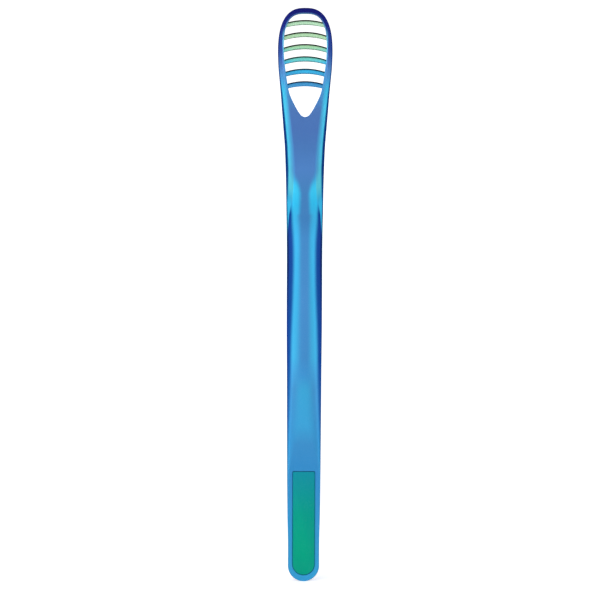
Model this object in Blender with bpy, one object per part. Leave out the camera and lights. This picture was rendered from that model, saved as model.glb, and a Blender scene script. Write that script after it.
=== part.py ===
"""A tongue cleaner standing on its tail: one moulded handle with a scraper head, its seven scraper
blades, the ribbed thumb grip and the bare label plate. Metres, Z up. The blades and the thumb grip
face -Y, the flat back with the label plate faces +Y."""

import math

import bmesh
import bpy

# Overall sizes

OVERALL_HEIGHT = 0.200
GRIP_WIDTH = 0.01225
GRIP_DEPTH = 0.0077
TAIL_WIDTH = 0.0108
HEAD_WIDTH = 0.0189
OPENING_WIDTH = 0.0148
EDGE_RADIUS = 0.00025
TAIL_CORNER = 0.0007
TAIL_RISE = 0.0049

# Scraper blades

BLADE_COUNT = 7
BLADE_PITCH = 0.00446
BLADE_THICKNESS = 0.00115
BLADE_RIM = 0.00085
BLADE_ARCH_RADIUS = 0.021
BLADE_REACH = 0.00597
BLADE_GAP = 0.00015

# Thumb grip

RECESS_DEPTH = 0.00055
PAD_THICKNESS = 0.0009
PAD_GAP = 0.00015
RIB_COUNT = 14
RIB_HEIGHT = 0.00053
RIB_EMBED = 0.0003

# Label plate

PLATE_WIDTH = 0.0077
PLATE_LENGTH = 0.0362
PLATE_THICKNESS = 0.0005
PLATE_CORNER = 0.0004
PLATE_GAP = 0.00016
PLATE_FLOOR_GAP = 0.00015

# Draw direction of the mould through the head: how far it falls for each length it goes forward

DRAW_SLOPE = 0.364

# Each table pairs a share of OVERALL_HEIGHT with a share of the size named in its heading.

# Front face, as shares of GRIP_DEPTH
FRONT_SHARES = (
    (0.000, -0.532), (0.045, -0.515), (0.090, -0.490), (0.145, -0.471), (0.200, -0.490),
    (0.256, -0.535), (0.312, -0.617), (0.340, -0.662), (0.368, -0.682), (0.400, -0.680),
    (0.565, -0.675), (0.577, -0.668), (0.592, -0.615), (0.620, -0.490), (0.648, -0.371),
    (0.676, -0.262), (0.704, -0.150), (0.731, -0.053), (0.759, 0.024), (0.787, 0.095),
    (0.829, 0.179), (0.850, 0.207), (0.876, 0.219), (0.897, 0.194), (0.918, 0.121),
    (0.939, -0.005), (0.960, -0.141), (0.980, -0.292), (1.000, -0.455),
)
# Back face, as shares of GRIP_DEPTH
BACK_SHARES = (
    (0.000, 0.565), (0.090, 0.529), (0.180, 0.494), (0.270, 0.458), (0.325, 0.400),
    (0.368, 0.356), (0.410, 0.340), (0.480, 0.328), (0.563, 0.322), (0.620, 0.324),
    (0.675, 0.358), (0.731, 0.402), (0.787, 0.471), (0.829, 0.532), (0.860, 0.545),
    (0.892, 0.517), (0.913, 0.453), (0.934, 0.350), (0.955, 0.190), (0.976, -0.004),
    (1.000, -0.270),
)
# Growth of the half width from the grip to the head, as shares of the difference
HEAD_GROWTH_SHARES = (
    (0.500, 0.000), (0.573, 0.012), (0.645, 0.066), (0.704, 0.130), (0.732, 0.182),
    (0.760, 0.255), (0.795, 0.414), (0.827, 0.564), (0.859, 0.714), (0.880, 0.835),
    (0.901, 0.945), (0.923, 1.000),
)
# Narrowing of the half width from the grip to the tail, as shares of the difference
TAIL_NARROWING_SHARES = (
    (0.000, 1.000), (0.075, 1.000), (0.110, 0.780), (0.150, 0.640), (0.230, 0.450),
    (0.368, 0.240), (0.440, 0.060), (0.500, 0.000),
)
# Half width of the front flat, as shares of the half width
FRONT_FLAT_SHARES = (
    (0.000, 0.24), (0.037, 0.22), (0.072, 0.12), (0.106, 0.08), (0.141, 0.06), (0.211, 0.07),
    (0.281, 0.10), (0.330, 0.12), (0.385, 0.17), (0.420, 0.26), (0.455, 0.38), (0.490, 0.58),
    (0.540, 0.90), (0.600, 0.96), (0.700, 0.962), (1.000, 0.97),
)
# Place of the corner between front and side that the rounding is drawn from, and the pull of that
# corner on the rounding
FRONT_CORNER_SHARES = (
    (0.000, 0.92), (0.037, 0.96), (0.072, 0.76), (0.106, 0.46), (0.141, 0.34), (0.176, 0.34),
    (0.211, 0.38), (0.246, 0.46), (0.281, 0.57), (0.316, 0.64), (0.351, 0.70), (0.385, 0.82),
    (0.420, 0.95), (0.455, 1.00), (1.000, 1.00),
)
FRONT_PULL_SHARE = 0.80
# Depth of the side crease behind the front face, as shares of the section's depth
CREASE_SHARES = (
    (0.000, 0.940), (0.055, 0.935), (0.140, 0.900), (0.228, 0.755), (0.316, 0.533),
    (0.377, 0.410), (0.403, 0.360), (0.446, 0.255), (0.490, 0.125), (0.535, 0.045),
    (0.600, 0.040), (0.700, 0.060), (1.000, 0.100),
)
# Half width of the corner between side and back, as shares of the half width
BACK_CORNER_SHARES = (
    (0.000, 1.00), (0.540, 1.00), (0.575, 0.97), (0.600, 0.90), (0.630, 0.76), (0.660, 0.63),
    (0.690, 0.565), (0.735, 0.555), (0.795, 0.625), (0.840, 0.715), (0.880, 0.800),
    (0.923, 0.836), (1.000, 0.860),
)
# Length of the rounding along the side, as shares of the side
SIDE_ROUNDING_SHARES = (
    (0.000, 0.80), (0.160, 0.85), (0.211, 0.93), (0.320, 0.95), (0.540, 0.95), (0.575, 0.94),
    (0.600, 0.86), (0.630, 0.58), (0.660, 0.30), (0.700, 0.14), (0.795, 0.10), (1.000, 0.12),
)
# Length of the rounding along the back, as shares of the corner's half width
BACK_ROUNDING_SHARES = (
    (0.000, 0.08), (0.150, 0.09), (0.185, 0.14), (0.211, 0.30), (0.246, 0.62), (0.281, 0.84),
    (0.320, 0.90), (0.385, 0.92), (0.430, 0.90), (0.560, 0.87), (0.600, 0.86), (0.630, 0.80),
    (0.660, 0.60), (0.700, 0.22), (0.760, 0.08), (1.000, 0.04),
)
# Width of the head's outer slope, measured inward from the outline, as shares of HEAD_WIDTH
SLOPE_WIDTH_SHARES = (
    (0.795, 0.150), (0.840, 0.122), (0.880, 0.094), (0.923, 0.082), (0.960, 0.078),
    (1.000, 0.068),
)
# Right half of the opening up to its widest place: share of its half width, share of its rise
OPENING_SHARES = (
    (0.000, 0.000), (0.128, 0.012), (0.240, 0.047), (0.372, 0.112), (0.486, 0.180),
    (0.595, 0.250), (0.689, 0.318), (0.759, 0.390), (0.822, 0.492), (0.905, 0.675),
    (0.973, 0.850), (1.000, 1.000),
)
# Rise of the oblique tail end from back to front: straight and curved share of TAIL_RISE
TAIL_RISE_SHARES = (0.16, 0.84)
# Heights as shares of OVERALL_HEIGHT
JOIN_SHARE = 0.795
HEAD_CENTRE_SHARE = 0.9232
OPENING_FOOT_SHARE = 0.8155
OPENING_WIDEST_SHARE = 0.9325
OPENING_TOP_SHARE = 0.9925
TILT_START_SHARE = 0.085
HEAD_POWER = 2.62
OPENING_POWER = 2.95
# First blade's top surface, carried along the draw direction to mid depth
FIRST_BLADE_SHARE = 1.0053
# Each blade reaches less far forward than the one above, by this share of the pitch
BLADE_LEAN_SHARE = 0.168
BLADE_END_SHARE = 0.965
# Rounded rim of a blade: its length as a share of the reach, its step as a share of BLADE_RIM
RIM_RUN_SHARE = 0.12
RIM_STEP_SHARE = 0.28
# Lip: its half width, the place of its rim between both feet, and its knees
LIP_HALF_SHARE = 0.80
LIP_RIM_SHARE = 0.42
LIP_KNEE_SHARES = (0.16, 0.55)
LIP_SPREAD_SHARE = 1.03
# Recess and pad of the thumb grip
RECESS_TOP_SHARE = 0.5655
RECESS_FOOT_SHARE = 0.3925
RECESS_SIDE_RISE_SHARE = 0.012
RECESS_WIDE_SHARE = 1.2
# First and last rib as shares of the recess's length, measured from its top and from its foot
RIB_MARGIN_SHARES = (0.059, 0.069)
RIB_WIDTH_SHARE = 0.54
RIB_HALF_SHARES = ((0.000, 0.40), (0.400, 0.54), (0.480, 0.64), (0.555, 0.735), (1.000, 0.74))
# Section of a rib: share of its width, share of its height
RIB_PROFILE_SHARES = (
    (-0.50, 0.00), (-0.33, 0.42), (-0.17, 0.83), (0.00, 1.00), (0.17, 0.83), (0.33, 0.42), (0.50, 0.00),
)
# End of a rib: share of its half length, share of its full section
RIB_END_SHARES = ((0.86, 1.00), (0.93, 0.88), (0.975, 0.62), (1.00, 0.25))
PAD_MARGIN_SHARE = 0.045
PAD_FOOT_SHARE = 0.8
PLATE_FOOT_SHARE = 0.0112
FLAT_BACK_SHARE = 0.180

HALF_GRIP = GRIP_WIDTH / 2
HALF_TAIL = TAIL_WIDTH / 2
HALF_HEAD = HEAD_WIDTH / 2
HALF_OPENING = OPENING_WIDTH / 2
RECESS_LENGTH = OVERALL_HEIGHT * (RECESS_TOP_SHARE - RECESS_FOOT_SHARE)
RIB_PITCH = RECESS_LENGTH * (1 - sum(RIB_MARGIN_SHARES)) / (RIB_COUNT - 1)
RIB_WIDTH = RIB_PITCH * RIB_WIDTH_SHARE

# Mesh fineness
FLAT_STEPS = 8
CORNER_STEPS = 5
BACK_STEPS = 7
WALL_STEPS = 2
STRIP_STEPS = 2
ROWS_PER_SHARE = 84
TAIL_END_STEPS = 9
ARM_STEPS = 12
CROWN_STEPS = 14
LEAN_STEPS = 3
RECESS_STEPS = 8
ROUND_STEPS = 16
SMALL_ROUND_STEPS = 4
DRAW_PASSES = 16
# Step on either side at which a table's slope is read
LITTLE = 0.01
# Turn of the round tail end at its last row, just short of a quarter
TAIL_TURN_DEGREES = 84


def along(table, share):
    """Smooth curve through the table's stations, read at a share."""
    last = len(table) - 1
    if share <= table[0][0]:
        return table[0][1]
    if share >= table[last][0]:
        return table[last][1]
    i = next(k for k in range(last) if share <= table[k + 1][0])

    def slope(k):
        if k == 0 or k == last:
            a, b = (0, 1) if k == 0 else (last - 1, last)
            return (table[b][1] - table[a][1]) / (table[b][0] - table[a][0])
        before = table[k][0] - table[k - 1][0]
        after = table[k + 1][0] - table[k][0]
        left = (table[k][1] - table[k - 1][1]) / before
        right = (table[k + 1][1] - table[k][1]) / after
        return (left * after + right * before) / (before + after)

    span = table[i + 1][0] - table[i][0]
    t = (share - table[i][0]) / span
    a, b = table[i][1], table[i + 1][1]
    return (
        a * (1 + 2 * t) * (1 - t) ** 2
        + b * t * t * (3 - 2 * t)
        + span * slope(i) * t * (1 - t) ** 2
        - span * slope(i + 1) * t * t * (1 - t)
    )


def front(z):
    return GRIP_DEPTH * along(FRONT_SHARES, z / OVERALL_HEIGHT)


def back(z):
    return GRIP_DEPTH * along(BACK_SHARES, z / OVERALL_HEIGHT)


def between(z, share):
    """Depth at a height: share 0 on the front face, 1 on the back face."""
    return front(z) * (1 - share) + back(z) * share


def half_width(z):
    share = z / OVERALL_HEIGHT
    growth = (HALF_HEAD - HALF_GRIP) * along(HEAD_GROWTH_SHARES, share)
    narrowing = (HALF_GRIP - HALF_TAIL) * along(TAIL_NARROWING_SHARES, share)
    return HALF_GRIP + growth - narrowing


def mix(a, b, t):
    return tuple(p * (1 - t) + q * t for p, q in zip(a, b))


def conic(start, corner, end, weight, t):
    """Point of the rounding that leaves start and reaches end along the lines from corner."""
    a, b, c = (1 - t) ** 2, 2 * weight * t * (1 - t), t * t
    return tuple((a * p + b * q + c * r) / (a + b + c) for p, q, r in zip(start, corner, end))


def edge_profile(z, slope_width=None):
    """Right edge of a section from the front flat to the back flat, as (inset, depth share)."""
    share = z / OVERALL_HEIGHT
    width = half_width(z)
    flat_end = (width * (1 - along(FRONT_FLAT_SHARES, share)), 0.0)
    front_corner = (width * (1 - along(FRONT_CORNER_SHARES, share)), 0.0)
    crease = (0.0, along(CREASE_SHARES, share))
    corner_width = width * along(BACK_CORNER_SHARES, share)
    inset = width - corner_width
    rounding = along(BACK_ROUNDING_SHARES, share) * corner_width
    if slope_width is not None:
        inset = slope_width
        rounding = EDGE_RADIUS
        flat_end = (EDGE_RADIUS, 0.0)
    back_corner = (inset, 1.0)
    start = mix(back_corner, crease, along(SIDE_ROUNDING_SHARES, share))
    end = (inset + rounding, 1.0)
    points = [conic(flat_end, front_corner, crease, FRONT_PULL_SHARE, i / CORNER_STEPS)
              for i in range(CORNER_STEPS + 1)]
    points += [conic(start, back_corner, end, math.sqrt(0.5), i / BACK_STEPS)
               for i in range(BACK_STEPS + 1)]
    return points


def head_slope_width(z):
    """Width of the head's outer slope at a height."""
    return HEAD_WIDTH * along(SLOPE_WIDTH_SHARES, z / OVERALL_HEIGHT)


def section(z):
    """Closed section at a height as (x, depth share), from the left end of the front flat."""
    profile = edge_profile(z)
    width = half_width(z)
    right = [(width - inset, share) for inset, share in profile]
    left = [(-x, share) for x, share in reversed(right)]
    reach_front, reach_back = right[0][0], right[-1][0]
    steps = range(1, FLAT_STEPS)
    front_flat = [(reach_front * (2 * i / FLAT_STEPS - 1), 0.0) for i in steps]
    back_flat = [(reach_back * (1 - 2 * i / FLAT_STEPS), 1.0) for i in steps]
    return front_flat + right + back_flat + left


def outline_point(step):
    """Head outline from the join (step 0) to the crest: x, z, and the outward direction."""
    centre = OVERALL_HEIGHT * HEAD_CENTRE_SHARE
    join = OVERALL_HEIGHT * JOIN_SHARE
    if step <= ARM_STEPS:
        z = join + (centre - join) * step / ARM_STEPS
        rise = OVERALL_HEIGHT / 1000
        lean = (half_width(z + rise) - half_width(z - rise)) / (2 * rise)
        lean *= min(1, step / LEAN_STEPS) * (step < ARM_STEPS)
        size = math.hypot(1, lean)
        return half_width(z), z, (1 / size, -lean / size)
    turn = math.pi / 2 * (step - ARM_STEPS) / CROWN_STEPS
    return crown_point(turn, HALF_HEAD, OVERALL_HEIGHT - centre, centre, HEAD_POWER)


def crown_point(turn, half, height, centre, power):
    """Point and outward direction on the upper half of a squarish oval."""
    across, up = math.cos(turn) / half, math.sin(turn) / height
    reach = (abs(across) ** power + abs(up) ** power) ** (-1 / power)
    x, rise = reach * math.cos(turn), reach * math.sin(turn)
    nx, nz = (abs(x) / half) ** (power - 1) / half, (rise / height) ** (power - 1) / height
    size = math.hypot(nx, nz)
    return max(x, 0.0), centre + rise, (nx / size, nz / size)


def opening_point(step):
    """Opening at the back face from its foot to its top: x, z, and the direction into the wall."""
    foot = OVERALL_HEIGHT * OPENING_FOOT_SHARE
    widest = OVERALL_HEIGHT * OPENING_WIDEST_SHARE
    top = OVERALL_HEIGHT * OPENING_TOP_SHARE
    half_steps = FLAT_STEPS // 2
    if step <= half_steps + ARM_STEPS:
        last = len(OPENING_SHARES) - 1
        kink = half_steps * last / (half_steps + ARM_STEPS)
        place = kink * step / half_steps
        if step > half_steps:
            place = kink + (last - kink) * (step - half_steps) / ARM_STEPS
        across = tuple((float(k), p[0]) for k, p in enumerate(OPENING_SHARES))
        up = tuple((float(k), p[1]) for k, p in enumerate(OPENING_SHARES))
        low, high = max(place - LITTLE, 0.0), min(place + LITTLE, float(last))
        dx = (along(across, high) - along(across, low)) * HALF_OPENING
        dz = (along(up, high) - along(up, low)) * (widest - foot)
        if step == 0:
            dz = 0.0
        if step == half_steps + ARM_STEPS:
            dx = 0.0
        size = math.hypot(dx, dz)
        x = HALF_OPENING * along(across, place)
        return x, foot + (widest - foot) * along(up, place), (dz / size, -dx / size)
    turn = math.pi / 2 * (step - half_steps - ARM_STEPS) / CROWN_STEPS
    return crown_point(turn, HALF_OPENING, top - widest, widest, OPENING_POWER)


def on_draw_line(z_back, share):
    """Depth and height where the draw line from the back face reaches a depth share."""
    level = z_back - DRAW_SLOPE * back(z_back)
    y = between(z_back, share)
    for _ in range(DRAW_PASSES):
        y = between(level + DRAW_SLOPE * y, share)
    return y, level + DRAW_SLOPE * y


def wall_profile(step):
    """Opening wall at one station from the front face to the back face, its rims rounded."""
    x, z, (nx, nz) = opening_point(step)
    depth = back(z) - front(z)
    rim = EDGE_RADIUS / depth
    y_front, z_front = on_draw_line(z, 0.0)
    z_off = z_front + EDGE_RADIUS * nz
    front_start = (x + EDGE_RADIUS * nx, front(z_off), z_off)
    front_end = (x,) + on_draw_line(z, rim)
    back_start = (x,) + on_draw_line(z, 1 - rim)
    z_off = z + EDGE_RADIUS * nz
    back_end = (x + EDGE_RADIUS * nx, back(z_off), z_off)
    round_off = math.sqrt(0.5)
    steps = [i / WALL_STEPS for i in range(WALL_STEPS + 1)]
    points = [conic(front_start, (x, y_front, z_front), front_end, round_off, t) for t in steps]
    points += [conic(back_start, (x, back(z), z), back_end, round_off, t) for t in steps]
    return points


def make_object(name, points, faces, material, smooth_angle=35):
    mesh = bpy.data.meshes.new(name)
    mesh.from_pydata(points, [], faces)
    shape = bmesh.new()
    shape.from_mesh(mesh)
    bmesh.ops.remove_doubles(shape, verts=shape.verts, dist=OVERALL_HEIGHT * 1e-8)
    bmesh.ops.recalc_face_normals(shape, faces=shape.faces)
    shape.to_mesh(mesh)
    shape.free()
    for polygon in mesh.polygons:
        polygon.use_smooth = True
    mesh.set_sharp_from_angle(angle=math.radians(smooth_angle))
    obj = bpy.data.objects.new(name, mesh)
    bpy.context.scene.collection.objects.link(obj)
    if material is not None:
        mesh.materials.append(material)
    return obj


def make_material(name, colour, roughness, metallic=0.0):
    material = bpy.data.materials.new(name)
    material.use_nodes = True
    shader = material.node_tree.nodes["Principled BSDF"]
    shader.inputs["Base Color"].default_value = (*colour, 1.0)
    shader.inputs["Roughness"].default_value = roughness
    shader.inputs["Metallic"].default_value = metallic
    return material


def boolean(obj, other, operation):
    """Cuts the other solid out of obj, or joins it on, and hides it from the render."""
    cut = obj.modifiers.new(other.name, "BOOLEAN")
    cut.operation = operation
    cut.solver = "EXACT"
    cut.object = other
    other.hide_render = True
    other.display_type = "WIRE"


def prism(name, outline, near, far, place):
    """Closed prism over a flat outline: place(u, v, depth) gives the point in space."""
    count = len(outline)
    points = [place(u, v, near) for u, v in outline] + [place(u, v, far) for u, v in outline]
    faces = [tuple(range(count)), tuple(range(2 * count - 1, count - 1, -1))]
    faces += [(i, (i + 1) % count, count + (i + 1) % count, count + i) for i in range(count)]
    return make_object(name, points, faces, None)


def clear_scene():
    for obj in list(bpy.data.objects):
        bpy.data.objects.remove(obj, do_unlink=True)


def tail_rise(y):
    """Height of the oblique tail end at a depth."""
    rear = back(HALF_TAIL) - EDGE_RADIUS
    reach = min(max((rear - y) / (rear - front(HALF_TAIL)), 0.0), 1.0)
    straight, curved = TAIL_RISE_SHARES
    return TAIL_RISE * (straight * reach + curved * reach * reach)


def handle_rows():
    """Rows of the handle from the tail's tip up to the join with the head."""
    rows = []
    start = HALF_TAIL
    tilt_top = OVERALL_HEIGHT * TILT_START_SHARE
    last_turn = math.radians(TAIL_TURN_DEGREES)
    for i in range(TAIL_END_STEPS, 0, -1):
        turn = last_turn * i / TAIL_END_STEPS
        shrink = math.cos(turn)
        level = start * (1 - math.sin(turn) / math.sin(last_turn))
        row = []
        for x, share in section(start):
            y = between(level, share)
            ease = TAIL_CORNER if share < 0.5 else EDGE_RADIUS
            y += ease * (1 - shrink) * (1 - 2 * share)
            row.append((x * shrink, y, level + tail_rise(y)))
        rows.append(row)
    join = OVERALL_HEIGHT * JOIN_SHARE
    count = round((join - start) / OVERALL_HEIGHT * ROWS_PER_SHARE)
    for i in range(count + 1):
        level = start + (join - start) * i / count
        tilt = min(max((tilt_top - level) / (tilt_top - start), 0.0), 1.0)
        tilt = tilt * tilt * (3 - 2 * tilt)
        row = []
        for x, share in section(level):
            y = between(level, share)
            z = level + tilt * tail_rise(y)
            row.append((x, between(z, share), z))
        rows.append(row)
    return rows


def make_handle(material):
    """Handle, neck and head loop as one closed mesh, with the opening through the head."""
    points, faces = [], []

    def add(point):
        points.append(point)
        return len(points) - 1

    rows = [[add(p) for p in row] for row in handle_rows()]
    ring = len(rows[0])
    for lower, upper in zip(rows, rows[1:]):
        for i in range(ring):
            j = (i + 1) % ring
            faces.append((lower[i], lower[j], upper[j], upper[i]))

    # The tail's tip is closed by a narrow strip between the two sides of its lowest row.
    tip = rows[0]
    half_flat = FLAT_STEPS // 2
    chain_length = CORNER_STEPS + BACK_STEPS + 2
    right_start = FLAT_STEPS - 1
    right = tip[right_start:right_start + chain_length]
    left = list(reversed(tip[-chain_length:]))
    front_tip = tip[:right_start]
    back_tip = tip[right_start + chain_length:-chain_length]
    for k in range(chain_length - 1):
        corners = [left[k], right[k], right[k + 1], left[k + 1]]
        if k == 0:
            corners[1:1] = front_tip
        if k == chain_length - 2:
            corners[-1:-1] = back_tip
        faces.append(tuple(corners))

    # Stations run round the opening: the foot, the right arm, the crown, and the left side back.
    top = rows[-1]
    right_chain = top[right_start:right_start + chain_length]
    left_chain = list(reversed(top[-chain_length:]))
    front_row = [left_chain[0]] + top[:right_start] + [right_chain[0]]
    back_row = [right_chain[-1]] + top[right_start + chain_length:-chain_length] + [left_chain[-1]]
    back_row.reverse()
    side_steps = ARM_STEPS + CROWN_STEPS
    total = half_flat + side_steps

    def arm_chain(step):
        x, z, (nx, nz) = outline_point(step)
        chain = []
        for inset, share in edge_profile(z, head_slope_width(z)):
            px, pz = x - inset * nx, z - inset * nz
            chain.append((max(px, 0.0), between(pz, share), pz))
        return chain

    def mirrored(point):
        return (-point[0], point[1], point[2])

    chains = {half_flat: right_chain, -half_flat: left_chain}
    for step in range(1, side_steps + 1):
        chain = arm_chain(step)
        if step == side_steps:
            chain = [(0.0, p[1], p[2]) for p in chain]
        chains[half_flat + step] = [add(p) for p in chain]
        if step < side_steps:
            chains[-half_flat - step] = [add(mirrored(p)) for p in chain]
    walls = {}
    for step in range(total + 1):
        wall = wall_profile(step)
        if step in (0, total):
            wall = [(0.0, p[1], p[2]) for p in wall]
        walls[step] = [add(p) for p in wall]
        if 0 < step < total:
            walls[-step] = [add(mirrored(p)) for p in wall]

    def outer_pair(station):
        if abs(station) < half_flat:
            return front_row[half_flat + station], back_row[half_flat + station]
        chain = chains[station]
        return chain[0], chain[-1]

    def strip(outer, inner, surface):
        line = [outer]
        for k in range(1, STRIP_STEPS):
            x, _, z = mix(points[outer], points[inner], k / STRIP_STEPS)
            line.append(add((x, surface(z), z)))
        return line + [inner]

    stations = list(range(-total + 1, total + 1))
    loops = {}
    for station in stations:
        outer_front, outer_back = outer_pair(station)
        wall = walls[station]
        loops[station] = (strip(outer_front, wall[0], front) + wall[1:-1]
                          + list(reversed(strip(outer_back, wall[-1], back))))
    for k, station in enumerate(stations):
        following = stations[(k + 1) % len(stations)]
        a, b = loops[station], loops[following]
        for i in range(len(a) - 1):
            faces.append((a[i], a[i + 1], b[i + 1], b[i]))
    for k, station in enumerate(stations):
        following = stations[(k + 1) % len(stations)]
        if station in chains and following in chains:
            a, b = chains[station], chains[following]
            for i in range(len(a) - 1):
                faces.append((a[i], a[i + 1], b[i + 1], b[i]))
    return make_object("handle_frame", points, faces, material)


def slab(name, columns, material):
    """Closed plate from columns of (top, bottom) points. A column may hold fewer rows than the next:
    faces are made where both columns hold both rows."""
    points, top, bottom = [], {}, {}
    for c, column in enumerate(columns):
        for r, pair in enumerate(column):
            if pair is None:
                continue
            top[c, r] = len(points)
            points.append(pair[0])
            bottom[c, r] = len(points)
            points.append(pair[1])
    faces, edges = [], {}
    for c in range(len(columns) - 1):
        for r in range(len(columns[c]) - 1):
            cell = [(c, r), (c + 1, r), (c + 1, r + 1), (c, r + 1)]
            if any(corner not in top for corner in cell):
                continue
            faces.append(tuple(top[k] for k in cell))
            faces.append(tuple(bottom[k] for k in reversed(cell)))
            for a, b in zip(cell, cell[1:] + cell[:1]):
                edges[a, b] = edges.get((a, b), 0) + 1
    for a, b in edges:
        if (b, a) not in edges:
            faces.append((top[b], top[a], bottom[a], bottom[b]))
    return make_object(name, points, faces, material)


def blade_level(number):
    """Top surface of a blade at mid width, carried along the draw direction to y = 0."""
    return OVERALL_HEIGHT * FIRST_BLADE_SHARE - BLADE_PITCH * (number - 1)


def arch_drop(x):
    """Fall of the blade's arch away from its middle."""
    return BLADE_ARCH_RADIUS - math.sqrt(BLADE_ARCH_RADIUS ** 2 - x * x)


def meeting(level, surface):
    """Depth where a surface that falls along the draw direction meets the front or back face."""
    y = 0.0
    for _ in range(DRAW_PASSES):
        y = surface(level + DRAW_SLOPE * y)
    return y


def opening_half_at(z_back):
    """Half width of the opening where its back rim is at this height."""
    total = FLAT_STEPS // 2 + ARM_STEPS + CROWN_STEPS
    last = opening_point(0)
    for step in range(1, total + 1):
        point = opening_point(step)
        if point[1] >= z_back:
            t = (z_back - last[1]) / (point[1] - last[1])
            return last[0] * (1 - t) + point[0] * t
        last = point
    return 0.0


def outline_half_at(z):
    centre = OVERALL_HEIGHT * HEAD_CENTRE_SHARE
    if z <= centre:
        return half_width(z)
    up = min((z - centre) / (OVERALL_HEIGHT - centre), 1.0)
    return HALF_HEAD * (1 - up ** HEAD_POWER) ** (1 / HEAD_POWER)


def make_blade(number, material):
    """Arched plate between the arms, its shoulders lying over their front faces."""
    level = blade_level(number)
    reach = BLADE_REACH - BLADE_LEAN_SHARE * BLADE_PITCH * (number - 1)

    def web_clear(x):
        low = level - arch_drop(x) - BLADE_THICKNESS
        z_low = low + DRAW_SLOPE * meeting(low, back)
        z_high = level - arch_drop(x) + DRAW_SLOPE * meeting(level - arch_drop(x), back)
        return x < min(opening_half_at(z_low), opening_half_at(z_high)) - BLADE_GAP

    # Widest place where the blade still clears both arms
    web = HALF_OPENING
    while not web_clear(web):
        web -= BLADE_GAP / 5
    mid_level = level - arch_drop(web)
    z_arm = mid_level + DRAW_SLOPE * meeting(mid_level, front)
    end = BLADE_END_SHARE * outline_half_at(z_arm)
    tip_depth = meeting(level, front) + reach
    columns = []
    stations = [web * k / 5 for k in range(6)] + [web + (end - web) * k / 4 for k in (1, 2, 3, 4)]
    for x in [-s for s in reversed(stations[1:])] + stations:
        ahead = math.sqrt(1 - (x / (end / BLADE_END_SHARE)) ** 2)
        top_level = level - arch_drop(x)
        y_face = meeting(top_level, front)
        y_shoulder = y_face - BLADE_GAP
        y_tip = y_face - tip_depth * ahead
        y_back = meeting(top_level, back) - EDGE_RADIUS
        y_rim = y_tip + (y_shoulder - y_tip) * RIM_RUN_SHARE
        depths = [y_tip, y_rim, (y_tip + y_shoulder) / 2, y_shoulder]
        if abs(x) <= web + BLADE_GAP * 1e-3:
            depths += [(y_shoulder + y_back) / 2, y_back]
        else:
            depths += [None, None]
        column = []
        for place, y in enumerate(depths):
            if y is None:
                column.append(None)
                continue
            run = min(max((y - y_tip) / (y_back - y_tip), 0.0), 1.0)
            thick = BLADE_RIM + (BLADE_THICKNESS - BLADE_RIM) * run
            ease = BLADE_RIM * RIM_STEP_SHARE if place == 0 else 0.0
            z_top = top_level + DRAW_SLOPE * y - ease
            z_low = top_level + DRAW_SLOPE * y - thick + ease
            column.append(((x, y, z_top), (x, y, z_low)))
        columns.append(column)
    return slab(f"scraper_blade_{number}", columns, material)


def make_lip(material):
    """First blade: a lip in front of the crown that follows the loop's top arc."""
    half_steps = FLAT_STEPS // 2
    knee, middle_knee = LIP_KNEE_SHARES
    columns = []
    first = 0
    while outline_point(ARM_STEPS + first)[0] > LIP_HALF_SHARE * HALF_HEAD:
        first += 1
    steps = list(range(first, CROWN_STEPS + 1))
    widest = outline_point(ARM_STEPS + first)[0]
    sides = [(-1, s) for s in steps] + [(1, s) for s in reversed(steps[:-1])]
    for side, step in sides:
        x_out, z_out, (nx, nz) = outline_point(ARM_STEPS + step)
        x_in, z_in, _ = opening_point(half_steps + ARM_STEPS + step)
        if step == CROWN_STEPS:
            x_out = x_in = 0.0
        _, z_rim = on_draw_line(z_in, 0.0)
        x_out -= EDGE_RADIUS * nx
        z_out -= EDGE_RADIUS * nz
        ahead = math.sqrt(max(1 - (x_out / (widest * LIP_SPREAD_SHARE)) ** 2, 0.0))
        long = (front(OVERALL_HEIGHT) + BLADE_REACH) * ahead
        top_foot = (side * x_out, front(z_out) - BLADE_GAP, z_out)
        low_foot = (side * x_in, front(z_rim) - BLADE_GAP, z_rim)
        x_tip, y_foot, z_foot = mix(top_foot, low_foot, LIP_RIM_SHARE)
        tip_y, tip_z = y_foot - long, z_foot - DRAW_SLOPE * long
        half_rim = BLADE_RIM / 2
        rim_top = (x_tip, tip_y, tip_z + half_rim / 2)
        rim_low = (x_tip, tip_y, tip_z - half_rim / 2)
        near_top = mix((x_tip, tip_y, tip_z + half_rim), top_foot, knee)
        near_low = mix((x_tip, tip_y, tip_z - half_rim), low_foot, knee)
        mid_top = mix((x_tip, tip_y, tip_z + half_rim), top_foot, middle_knee)
        mid_low = mix((x_tip, tip_y, tip_z - half_rim), low_foot, middle_knee)
        columns.append([(rim_top, rim_low), (near_top, near_low), (mid_top, mid_low),
                        (top_foot, low_foot)])
    return slab("scraper_blade_1", columns, material)


def straight(surface, z, low_share, high_share):
    """Plane through a face's depths at two heights, read at a height."""
    low, high = OVERALL_HEIGHT * low_share, OVERALL_HEIGHT * high_share
    t = (z - low) / (high - low)
    return surface(low) * (1 - t) + surface(high) * t


def recess_floor(z):
    return straight(front, z, RECESS_FOOT_SHARE, RECESS_TOP_SHARE) + RECESS_DEPTH


def recess_outline():
    """Outline of the recess in width and height: straight top, foot that rises to both sides."""
    top = OVERALL_HEIGHT * RECESS_TOP_SHARE
    foot = OVERALL_HEIGHT * RECESS_FOOT_SHARE
    rise = OVERALL_HEIGHT * RECESS_SIDE_RISE_SHARE
    wide = HALF_GRIP * RECESS_WIDE_SHARE
    outline = [(wide, top), (-wide, top)]
    for k in range(-RECESS_STEPS, RECESS_STEPS + 1):
        across = k / RECESS_STEPS
        outline.append((wide * across, foot + rise * across * across))
    return outline


def in_recess(u, v, depth):
    """Point below the recess's floor, depth measured into the handle."""
    return (u, recess_floor(v) + depth, v)


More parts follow.
